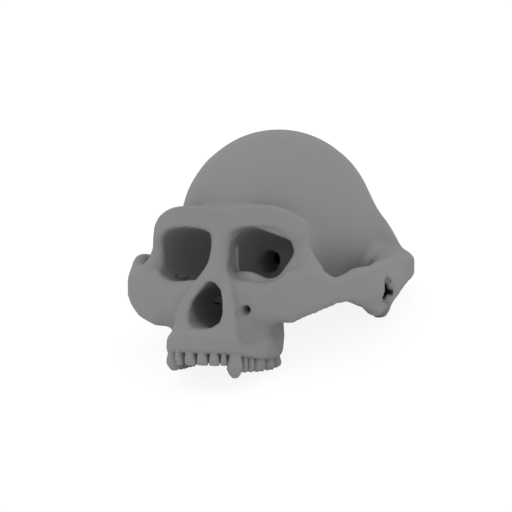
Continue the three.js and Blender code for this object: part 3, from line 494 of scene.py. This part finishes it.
def to_row(p):
    return (np.atleast_2d(p) @ TIP.T + SHIFT) * MM


def to_skull(p):
    return (np.atleast_2d(p) / MM - SHIFT) @ TIP


# Small helpers for meshes


def mesh_of(bm, name):
    """A new mesh from a bmesh, which is freed."""
    mesh = bpy.data.meshes.new(name)
    bm.to_mesh(mesh)
    bm.free()
    return mesh


def new_object(name, mesh):
    made = bpy.data.objects.new(name, mesh)
    bpy.context.scene.collection.objects.link(made)
    return made


def places_of(mesh):
    co = np.empty(len(mesh.vertices) * 3)
    mesh.vertices.foreach_get("co", co)
    return co.reshape(-1, 3)


def set_places(mesh, co):
    mesh.vertices.foreach_set("co", np.ascontiguousarray(co).ravel())
    mesh.update()


def baked(obj):
    """The object's mesh with its modifiers, in place of its own."""
    graph = bpy.context.evaluated_depsgraph_get()
    mesh = bpy.data.meshes.new_from_object(obj.evaluated_get(graph), depsgraph=graph)
    old = obj.data
    obj.modifiers.clear()
    obj.data = mesh
    bpy.data.meshes.remove(old)
    return obj


def node_copy(name):
    """A bmesh of a CAD node with its corners joined up."""
    bm = bmesh.new()
    bm.from_mesh(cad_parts[name].data)
    bmesh.ops.remove_doubles(bm, verts=bm.verts, dist=1e-6)
    return bm


SIDES = (("left", 1), ("right", -1))
BONES = ["occipital", "frontal", "sphenoid", "ethmoid"] + [
    f"{bone}_{side}"
    for bone in ("parietal", "temporal", "zygomatic", "nasal", "lacrimal", "palatine", "maxilla")
    for side, _ in SIDES
]

# Swellings over the tooth roots, with the root's height and its distance from the tooth as shares
ROOT_SWELL = {
    "canine": 0.9, "lateral_incisor": 0.35, "central_incisor": 0.35, "extra_incisor": 0.25,
    "first_premolar": 0.4, "second_premolar": 0.35, "first_molar": 0.45, "second_molar": 0.4,
    "third_molar": 0.3,
}
CANINE_ROOT_SHARE = 0.16
ROOT_SHARE = 0.09
ROOT_OUT_SHARE = 0.055
ROOT_LEAN_SHARE = 0.01
ROOT_FOOT_SHARE = 0.32
ROOT_END_SHARE = 0.25
for tooth_name, _, side, (_, _, turn, x, y, gum, _, breadth, _) in TEETH:
    lean = math.radians(turn)
    out = np.array((math.sin(lean), -math.cos(lean)))
    foot = np.array((x, y)) + ROOT_OUT_SHARE * out
    top = foot - ROOT_LEAN_SHARE * out
    root = CANINE_ROOT_SHARE if tooth_name == "canine" else ROOT_SHARE
    rail = [(*foot, -gum, ROOT_FOOT_SHARE * breadth), (*top, root - gum, ROOT_END_SHARE * breadth)]
    RELIEFS.append((side, steps_of(rail), ROOT_SWELL[tooth_name]))

# Ridge along each temple, then the grooves at the left orbit's inner corner and beside the nose
TEMPLE_RIDGE = [
    (0.47, 0.12, 0.14, 0.3), (0.42, 0.3, 0.36, 0.35), (0.36, 0.6, 0.62, 0.45), (0.4, 0.95, 0.6, 0.5),
    (0.5, 1.2, 0.3, 0.5),
]
CORNER_GROOVE = [(0.066, 0.01, 0.03, 0.14), (0.064, 0, -0.06, 0.14), (0.07, 0.01, -0.14, 0.14)]
NOSE_GROOVE = [
    (0.085, -0.06, -0.1, 0.3), (0.15, -0.13, -0.22, 0.4), (0.225, -0.17, -0.37, 0.5),
    (0.26, -0.17, -0.48, 0.7),
]
RIDGE_HEIGHT = 0.5
GROOVE_DEPTH = 1.2
RELIEFS += [
    (0, steps_of(TEMPLE_RIDGE), RIDGE_HEIGHT),
    (1, steps_of(CORNER_GROOVE), -GROOVE_DEPTH),
    (0, steps_of(NOSE_GROOVE), -GROOVE_DEPTH),
]


# Outlines are seen from one side and run through the skull along that axis
VIEWS = {
    "side": lambda a, b, depth: at(depth, a, b),
    "front": lambda a, b, depth: at(a, depth, b),
    "top": lambda a, b, depth: at(a, b, depth),
}


def prism(view, shares, start, end):
    """A closed prism from an outline in shares."""
    bm = bmesh.new()
    place = VIEWS[view]
    corners = [bm.verts.new(to_row(place(a, b, start))[0]) for a, b in shares]
    face = bm.faces.new(corners)
    run = to_row(place(0, 0, end))[0] - to_row(place(0, 0, start))[0]
    extruded = bmesh.ops.extrude_face_region(bm, geom=[face], use_keep_orig=True)
    moved = [v for v in extruded["geom"] if isinstance(v, bmesh.types.BMVert)]
    bmesh.ops.translate(bm, verts=moved, vec=Vector(run))
    bmesh.ops.recalc_face_normals(bm, faces=bm.faces)
    bmesh.ops.triangulate(bm, faces=bm.faces)
    return new_object("suture", mesh_of(bm, "suture"))


# The web behind the front teeth as an outline, for the copies that are run together
WEB = ("top", (
    (-0.19, -0.2), (-0.14, -0.245), (-0.07, -0.264), (0.07, -0.268), (0.14, -0.248), (0.19, -0.205),
    (0.17, -0.19), (0.13, -0.228), (0.06, -0.248), (-0.06, -0.244), (-0.13, -0.225), (-0.17, -0.185),
), -0.668, -0.55)

# A ball that fills the thin lower outer corner of the right orbit's wall
PLUG_PLACE = (-41, 22, -16.5)
PLUG_RADIUS = 4

# The tooth copies that fill the sockets: where they are cut, and how much more than a bone they swell
UNDER_GUM = 1.5
TOOTH_SWELL = 2


def filled_cranium():
    """All bones as one closed surface: swollen copies run together, with the tooth sockets filled."""
    whole = bmesh.new()

    def take_in(bm):
        part = mesh_of(bm, "part")
        whole.from_mesh(part)
        bpy.data.meshes.remove(part)

    for name in BONES:
        bm = node_copy(name)
        for v in bm.verts:
            v.co += v.normal * SEAM_FILL * MM
        take_in(bm)
    web = prism(*WEB)
    whole.from_mesh(web.data)
    bpy.data.objects.remove(web)
    place = Matrix.Translation(Vector(to_row(PLUG_PLACE)[0]))
    bmesh.ops.create_icosphere(whole, subdivisions=2, radius=PLUG_RADIUS * MM, matrix=place)
    for name, word, _, row in TEETH:
        bm = node_copy(f"{name}_{word}")
        for v in bm.verts:
            v.co += v.normal * TOOTH_SWELL * SEAM_FILL * MM
        level = to_row((0, row[4] * BASE_LENGTH, -row[5] * BASE_HEIGHT + UNDER_GUM))[0]
        normal = Vector(TIP @ (0, 0, -1))
        cut = bmesh.ops.bisect_plane(
            bm, geom=bm.verts[:] + bm.edges[:] + bm.faces[:], plane_co=Vector(level), plane_no=normal,
            clear_outer=True,
        )
        rim = [e for e in cut["geom_cut"] if isinstance(e, bmesh.types.BMEdge)]
        bmesh.ops.edgenet_fill(bm, edges=rim)
        take_in(bm)
    bmesh.ops.recalc_face_normals(whole, faces=whole.faces)
    cranium_object = new_object("cranium", mesh_of(whole, "cranium"))
    remesh = cranium_object.modifiers.new("voxels", "REMESH")
    remesh.mode = "VOXEL"
    remesh.voxel_size = VOXEL * MM
    return baked(cranium_object)


def islands_dropped(mesh):
    """Keeps the largest connected part of a mesh."""
    bm = bmesh.new()
    bm.from_mesh(mesh)
    seen = set()
    parts = []
    for start in bm.verts:
        if start in seen:
            continue
        part = [start]
        seen.add(start)
        for v in part:
            for e in v.link_edges:
                other = e.other_vert(v)
                if other not in seen:
                    seen.add(other)
                    part.append(other)
        parts.append(part)
    parts.sort(key=len)
    for part in parts[:-1]:
        bmesh.ops.delete(bm, geom=part, context="VERTS")
    bm.to_mesh(mesh)
    bm.free()


# The braincase's hollow, with the step of its floor and the place where it opens below
HOLLOW_RADII = VAULT - VAULT_WALL - np.array((0, VAULT_WALL / 3, 0))
HOLLOW_CENTRE = VAULT_CENTRE + np.array((0, VAULT_WALL / 3, 0))
HOLLOW_REACH = 1.3
FLOOR_STEP_Y = (44, 68)
FLOOR_STEP_Z = (16, -19)
FORAMEN_Y = 120
FORAMEN_TOP = -26
FORAMEN_REACH = 2


def in_hollow(p):
    """True near the walls of the braincase's hollow."""
    grown = HOLLOW_RADII + HOLLOW_REACH
    inside = np.linalg.norm((p - HOLLOW_CENTRE) / grown, axis=1) < 1
    floor = np.interp(p[:, 1], FLOOR_STEP_Y, FLOOR_STEP_Z) - HOLLOW_REACH
    near_foramen = np.hypot(p[:, 0], p[:, 1] - FORAMEN_Y) < FORAMEN_MAGNUM / 2 + FORAMEN_REACH
    return inside & (p[:, 2] > floor) & ~(near_foramen & (p[:, 2] < FORAMEN_TOP))


def relaxed(p, edges, amount):
    """Each vertex moved towards the middle of its neighbours."""
    total = np.zeros_like(p)
    count = np.zeros(len(p))
    for a, b in ((0, 1), (1, 0)):
        for k in range(3):
            total[:, k] += np.bincount(edges[:, a], weights=p[edges[:, b], k], minlength=len(p))
        count += np.bincount(edges[:, a], minlength=len(p))
    return p + (total / np.maximum(count, 1)[:, None] - p) * amount


INNER_PIECES = ("vomer", "inferior_concha_left", "inferior_concha_right")
FITTING_REACH = 1.2


def near_fitting(p):
    """True where the vomer or a concha is let into the walls of the nasal cavity."""
    near = np.zeros(len(p), bool)
    for name in INNER_PIECES:
        low, high = (np.array(corner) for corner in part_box(name))
        near |= np.all((p > low - FITTING_REACH * MM) & (p < high + FITTING_REACH * MM), axis=1)
    return near


# How the remeshed surface is eased and drawn onto the smooth form
FIRST_ROUNDS = 3
FIRST_EASE = 0.5
LAST_ROUND = 4
ROUND_EASE = 0.4
DRAW_REACH = 8
FITTING_DRAW_REACH = 1.2
SLOPE_STEP = 0.15
LEAST_STEEPNESS = 0.25
MOST_TRAVEL = 2.5


def drawn_on(mesh):
    """Moves the outer vertices onto the smooth form and smooths the others."""
    p = to_skull(places_of(mesh))
    edges = np.empty(len(mesh.edges) * 2, np.int32)
    mesh.edges.foreach_get("vertices", edges)
    edges = edges.reshape(-1, 2)
    for _ in range(FIRST_ROUNDS):
        p = relaxed(p, edges, FIRST_EASE)
    hidden = in_hollow(p)
    most = np.where(near_fitting(to_row(p)), FITTING_DRAW_REACH, DRAW_REACH)
    for round_number in range(LAST_ROUND + 1):
        d = cranium(p)
        move = (~hidden) & (np.abs(d) < most)
        q = p[move]
        slope = np.stack([
            (cranium(q + SLOPE_STEP * axis) - cranium(q - SLOPE_STEP * axis)) / (2 * SLOPE_STEP)
            for axis in np.eye(3)
        ], axis=1)
        steep = np.maximum((slope ** 2).sum(1), LEAST_STEEPNESS)
        travel = np.clip(d[move] / steep, -MOST_TRAVEL, MOST_TRAVEL)
        p[move] = q - slope * travel[:, None]
        if round_number < LAST_ROUND:
            p = relaxed(p, edges, ROUND_EASE)
    set_places(mesh, to_row(p))


whole = filled_cranium()
islands_dropped(whole.data)
drawn_on(whole.data)


# Sutures: the region that each bone fills
INNER_WALL_SHARE = 0.44
INNER_WALL_FOOT = (ORBIT_MOUTH[2] - INNER_WALL_SHARE * ORBIT_HEIGHT) / BASE_HEIGHT
REGIONS = {
    "occipital": [
        ("side", (
            (1.75, 0.72), (1.44, 0.5), (1.36, 0.3), (1.26, 0.1), (1.2, -0.02), (1.17, -0.1), (1.13, -0.28),
            (1.12, -0.8), (1.75, -0.8),
        ), -1.2, 1.2),
        ("top", (
            (-0.13, 0.6), (0.13, 0.6), (0.19, 0.85), (0.26, 1), (0.38, 1.15), (0.38, 1.3), (-0.38, 1.3),
            (-0.38, 1.15), (-0.26, 1), (-0.19, 0.85),
        ), -0.8, -0.02),
    ],
    "parietal": [("side", (
        (0.6, 1.1), (0.57, 0.75), (0.5, 0.5), (0.43, 0.28), (0.4, 0.12), (0.52, 0.14), (0.66, 0.23),
        (0.84, 0.26), (1, 0.2), (1.12, 0.09), (1.26, 0.06), (1.75, 0.06), (1.75, 1.1),
    ), 0, 1.2)],
    "frontal": [("side", (
        (-0.6, 0.035), (0.2, 0.035), (0.34, 0.09), (0.41, 0.12), (0.46, 0.3), (0.63, 0.8), (0.63, 1.1),
        (-0.6, 1.1),
    ), -1.2, 1.2)],
    "sphenoid": [
        ("top", (
            (-0.6, 0.21), (0.6, 0.21), (0.6, 0.46), (0.3, 0.5), (0.16, 0.63), (-0.16, 0.63), (-0.3, 0.5),
            (-0.6, 0.46),
        ), -0.2, 0.3),
        ("top", (
            (-0.24, 0.235), (0.24, 0.235), (0.3, 0.5), (0.16, 0.63), (-0.16, 0.63), (-0.3, 0.5),
        ), -0.9, -0.15),
    ],
    "temporal": [("side", ((0.46, -0.9), (1.4, -0.9), (1.4, 0.5), (0.46, 0.5)), 0, 1.2)],
    "zygomatic": [("front", (
        (0.27, 0.1), (0.27, -0.2), (0.32, -0.32), (0.39, -0.5), (1.2, -0.6), (1.2, 0.1),
    ), -0.6, 0.6)],
    "nasal": [("front", ((0, 0.1), (0.042, 0.1), (0.05, -0.06), (0.06, -0.3), (0, -0.3)), -0.5, 0.03)],
    "ethmoid": [("top", (
        (-0.02, 0.035), (0.02, 0.035), (0.02, 0.09), (0.2, 0.09), (0.18, 0.3), (-0.18, 0.3), (-0.2, 0.09),
        (-0.02, 0.09),
    ), INNER_WALL_FOOT, 0.1)],
    "lacrimal": [("top", ((0.025, 0.035), (0.2, 0.035), (0.2, 0.09), (0.025, 0.09)), INNER_WALL_FOOT, 0.1)],
    "palatine": [("top", ((0, 0.12), (0.19, 0.12), (0.19, 0.4), (0, 0.4)), -0.62, -0.42)],
}
CARVING_ORDER = [
    "occipital", "parietal", "frontal", "sphenoid", "temporal", "zygomatic", "nasal", "ethmoid", "lacrimal",
    "palatine",
]
MIDDLE_BONES = {"occipital", "frontal", "sphenoid", "ethmoid"}


def mirrored_region(row):
    view, shares, start, end = row
    if view == "side":
        return view, shares, -end, -start
    return view, tuple((-a, b) for a, b in shares), start, end


def combined(obj, tool, operation):
    step = obj.modifiers.new("cut", "BOOLEAN")
    step.operation = operation
    step.solver = "MANIFOLD"
    step.object = tool
    return baked(obj)


def region_object(rows):
    body = prism(*rows[0])
    for row in rows[1:]:
        other = prism(*row)
        combined(body, other, "UNION")
        bpy.data.objects.remove(other)
    return body


def carved(name, rows):
    """Parts a bone from what is left of the cranium."""
    region = region_object(rows)
    bone = new_object(f"bone_{name}", whole.data.copy())
    combined(bone, region, "INTERSECT")
    combined(whole, region, "DIFFERENCE")
    bpy.data.objects.remove(region)
    pieces[name] = bone


pieces = {}
for name in CARVING_ORDER:
    rows = REGIONS[name]
    if name in MIDDLE_BONES:
        carved(name, rows)
    else:
        carved(f"{name}_left", rows)
        carved(f"{name}_right", [mirrored_region(row) for row in rows])
half = [("top", ((0, -0.9), (1.2, -0.9), (1.2, 1.9), (0, 1.9)), -1.2, 1.2)]
carved("maxilla_left", half)
pieces["maxilla_right"] = whole
whole.name = "bone_maxilla_right"


# Teeth: profiles from the root's tip to the middle of the bite, as height, breadth and depth
ROOT_PROFILE = [(-1.06, 0, 0), (-1, 0.2, 0.24), (-0.55, 0.55, 0.6), (-0.12, 0.76, 0.82)]
CROWN_PROFILES = {
    "cutting": [(0.06, 0.8, 0.9), (0.4, 0.96, 0.94), (0.75, 1, 0.66), (0.97, 0.96, 0.4), (1, 0.6, 0.2),
                (1, 0, 0)],
    "pointed": [(0.06, 0.76, 0.84), (0.35, 0.94, 0.98), (0.62, 1, 0.94), (0.84, 0.7, 0.66), (0.97, 0.4, 0.4),
                (1, 0.28, 0.28), (1, 0, 0)],
    "chewing": [(0.06, 0.86, 0.88), (0.4, 1, 1), (0.78, 0.95, 0.92), (0.95, 0.78, 0.74), (1, 0.5, 0.5),
                (1, 0, 0)],
}
SQUARENESS = 2.6
ROUND_SEGMENTS = 36
HEIGHT_SEGMENTS = 30
# The bite of a chewing tooth: cusps, and the pit between them
CUSP_RISE = 0.7
CUSP_SINK = 0.3
PIT_DEPTH = 0.6
BITE_START = 0.8
BITE_FADE = 0.15
BITE_REACH = 0.8


def tooth(name, word, side, row):
    kind, cusps, turn, x, y, gum, edge, breadth, depth = row
    crown = (edge - gum) * BASE_HEIGHT - (WORN_CANINE if side < 0 and kind == "pointed" else 0)
    profile = np.array(ROOT_PROFILE + CROWN_PROFILES[kind])
    bm = bmesh.new()
    bmesh.ops.create_uvsphere(bm, u_segments=ROUND_SEGMENTS, v_segments=HEIGHT_SEGMENTS, radius=1)
    mesh = mesh_of(bm, f"{name}_{word}")
    sphere = places_of(mesh)
    along = np.arccos(np.clip(-sphere[:, 2], -1, 1)) / math.pi * (len(profile) - 1)
    level = np.arange(len(profile))
    height, wide, deep = (np.interp(along, level, profile[:, k]) for k in range(3))
    angle = np.arctan2(sphere[:, 1], sphere[:, 0])
    c, s = np.cos(angle), np.sin(angle)
    bulge = (np.abs(c) ** SQUARENESS + np.abs(s) ** SQUARENESS) ** (-1 / SQUARENESS)
    u = c * bulge * wide * breadth * MOLAR_DEPTH / 2
    v = s * bulge * deep * depth * MOLAR_DEPTH / 2
    down = np.where(height < 0, height * ROOT_LENGTH, height * crown)
    if kind == "chewing":
        first = math.pi / 4 if cusps == 4 else math.pi / 2
        on_top = np.clip((height - BITE_START) / BITE_FADE, 0, 1)
        reach = np.clip(wide / BITE_REACH, 0, 1)
        lobe = 0.5 + 0.5 * np.cos(cusps * (angle - first))
        down += on_top * CUSP_RISE * (reach * lobe - PIT_DEPTH * (1 - reach) - CUSP_SINK)
    lean = math.radians(turn) * side
    p = np.stack((
        side * x * FACE_BREADTH + u * math.cos(lean) - v * math.sin(lean),
        y * BASE_LENGTH + u * math.sin(lean) + v * math.cos(lean),
        -gum * BASE_HEIGHT - down,
    ), axis=1)
    placed = to_row(p)
    placed[:, 2] = np.maximum(placed[:, 2], 0)
    set_places(mesh, placed)
    return new_object(f"tooth_{name}_{word}", mesh)


for name, word, side, row in TEETH:
    pieces[f"{name}_{word}"] = tooth(name, word, side, row)

# Vomer and conchae keep their solids' shape with softened edges, and the thin front ends of the
# conchae are worn back into the shade of the nose
CONCHA_LENGTH_SHARE = 0.7
INNER_BEVEL = 0.35
for name in INNER_PIECES:
    bm = node_copy(name)
    if name != "vomer":
        behind = max(vert.co.y for vert in bm.verts)
        for vert in bm.verts:
            vert.co.y = behind + (vert.co.y - behind) * CONCHA_LENGTH_SHARE
    bmesh.ops.bevel(
        bm, geom=bm.edges[:], offset=INNER_BEVEL * MM, offset_type="OFFSET", segments=2, profile=0.5,
        affect="EDGES", clamp_overlap=True, material=-1,
    )
    pieces[name] = new_object(f"inner_{name}", mesh_of(bm, name))


# Materials


def srgb(code):
    """A linear colour from an sRGB hex code."""
    parts = [int(code[i:i + 2], 16) / 255 for i in (0, 2, 4)]
    return [c / 12.92 if c <= 0.04045 else ((c + 0.055) / 1.055) ** 2.4 for c in parts] + [1]


def add_node(tree, kind, settings=None, links=None, **values):
    """Adds a shader node with its settings, its socket values and its incoming links."""
    node = tree.nodes.new(kind)
    for key, value in (settings or {}).items():
        setattr(node, key, value)
    for key, value in values.items():
        node.inputs[key.replace("_", " ")].default_value = value
    for key, source in (links or {}).items():
        tree.links.new(source, node.inputs[key])
    return node


def cast_resin():
    """Unpainted grey casting resin, matte, with the faint unevenness of a mould."""
    material = bpy.data.materials.new("grey_casting_resin")
    material.use_nodes = True
    tree = material.node_tree
    shader = tree.nodes["Principled BSDF"]
    place = add_node(tree, "ShaderNodeTexCoord").outputs["Object"]
    grain = add_node(tree, "ShaderNodeTexNoise", links={"Vector": place}, Scale=900, Detail=3, Roughness=0.6)
    cloud = add_node(tree, "ShaderNodeTexNoise", links={"Vector": place}, Scale=45, Detail=2, Roughness=0.5)
    tone = add_node(tree, "ShaderNodeMix", {"data_type": "RGBA"}, {"Factor": cloud.outputs["Fac"]})
    tone.inputs[6].default_value = srgb("8A8A8A")
    tone.inputs[7].default_value = srgb("8E8E8E")
    tree.links.new(tone.outputs[2], shader.inputs["Base Color"])
    bump = add_node(
        tree, "ShaderNodeBump", links={"Height": grain.outputs["Fac"]}, Strength=0.08, Distance=0.0002,
    )
    tree.links.new(bump.outputs["Normal"], shader.inputs["Normal"])
    shader.inputs["Roughness"].default_value = 0.85
    shader.inputs["Specular IOR Level"].default_value = 0.15
    return material


def seen_share(tree):
    """1 for what the camera sees, straight or through gloss or glass, and 0 for light on the object."""
    path = add_node(tree, "ShaderNodeLightPath").outputs
    gloss = add_node(
        tree, "ShaderNodeMath", {"operation": "MAXIMUM"},
        {0: path["Is Glossy Ray"], 1: path["Is Transmission Ray"]},
    )
    either = add_node(
        tree, "ShaderNodeMath", {"operation": "MAXIMUM"}, {0: path["Is Camera Ray"], 1: gloss.outputs[0]},
    )
    return either.outputs[0]


SHARP_ANGLE = math.radians(50)
resin = cast_resin()
for node, piece in pieces.items():
    piece.data.materials.clear()
    piece.data.materials.append(resin)
    piece.data.shade_smooth()
    piece.data.set_sharp_from_angle(angle=SHARP_ANGLE)
    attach(piece, "root")
    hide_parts(node)

# Light: an even white surround, less of it from the front, where the photographer stood
SURROUND = 1
FRONT_SHARE = 0.85
FRONT_SIDE = math.radians(20)
FADE_START = 0.55
FADE_END = 0.95
world = bpy.data.worlds.new("surround")
bpy.context.scene.world = world
world.use_nodes = True
tree = world.node_tree
tree.nodes.clear()
backdrop = add_node(tree, "ShaderNodeBackground", Color=srgb("FFFFFF"), Strength=1)
towards = TIP @ (math.sin(FRONT_SIDE), -math.cos(FRONT_SIDE), 0)
direction = add_node(tree, "ShaderNodeTexCoord").outputs["Generated"]
facing = add_node(tree, "ShaderNodeVectorMath", {"operation": "DOT_PRODUCT"}, {0: direction})
facing.inputs[1].default_value = towards
level = add_node(
    tree, "ShaderNodeMapRange", {"interpolation_type": "SMOOTHSTEP"}, {"Value": facing.outputs["Value"]},
    From_Min=FADE_START, From_Max=FADE_END, To_Min=SURROUND, To_Max=SURROUND * FRONT_SHARE,
)
lit = add_node(
    tree, "ShaderNodeBackground", links={"Strength": level.outputs["Result"]}, Color=srgb("FFFFFF"),
)
mix = add_node(
    tree, "ShaderNodeMixShader", links={"Fac": seen_share(tree), 1: lit.outputs[0], 2: backdrop.outputs[0]},
)
add_node(tree, "ShaderNodeOutputWorld", links={"Surface": mix.outputs[0]})

# Floor: plain white paper, which keeps a faint soft shadow
FLOOR_REACH = 3
FLOOR_DROP = 0.05
PAPER_GLOW = 1.06
SHADOW_SHARE = 0.16
paper = bpy.data.materials.new("white_paper")
paper.use_nodes = True
tree = paper.node_tree
tree.nodes.clear()
matte = add_node(tree, "ShaderNodeBsdfDiffuse", Color=srgb("F2F2F2"))
glow = add_node(tree, "ShaderNodeEmission", Color=srgb("FFFFFF"), Strength=PAPER_GLOW)
share = add_node(tree, "ShaderNodeMath", {"operation": "MULTIPLY"}, {0: seen_share(tree)})
share.inputs[1].default_value = 1 - SHADOW_SHARE
mix = add_node(
    tree, "ShaderNodeMixShader", links={"Fac": share.outputs[0], 1: matte.outputs[0], 2: glow.outputs[0]},
)
add_node(tree, "ShaderNodeOutputMaterial", links={"Surface": mix.outputs[0]})
bm = bmesh.new()
bmesh.ops.create_grid(bm, x_segments=1, y_segments=1, size=FLOOR_REACH)
bmesh.ops.translate(bm, verts=bm.verts, vec=(0, 0, -FLOOR_DROP * MM))
floor_mesh = mesh_of(bm, "floor")
floor_mesh.materials.append(paper)
new_object("floor", floor_mesh)

# Camera: long lens, in front of the skull and to its left, level with its eyes
AZIMUTH = math.radians(25)
DISTANCE = 830
TARGET = np.array((1.65, 43.05, -4.27))
FIELD = math.radians(22)
camera_data = bpy.data.cameras.new("camera")
camera_data.sensor_width = 36
camera_data.lens = camera_data.sensor_width / 2 / math.tan(FIELD / 2)
camera_data.clip_start = 0.05
camera_data.clip_end = 10
camera_data.dof.use_dof = False
camera = new_object("camera", camera_data)
back = np.array((math.sin(AZIMUTH), -math.cos(AZIMUTH), 0))
right = np.array((math.cos(AZIMUTH), math.sin(AZIMUTH), 0))
axes = np.stack((TIP @ right, TIP @ (0, 0, 1), TIP @ back), axis=1)
camera.matrix_world = Matrix.LocRotScale(
    Vector(to_row(TARGET + DISTANCE * back)[0]), Matrix(axes.tolist()).to_quaternion(), None,
)
scene = bpy.context.scene
scene.camera = camera
scene.view_settings.view_transform = "Standard"
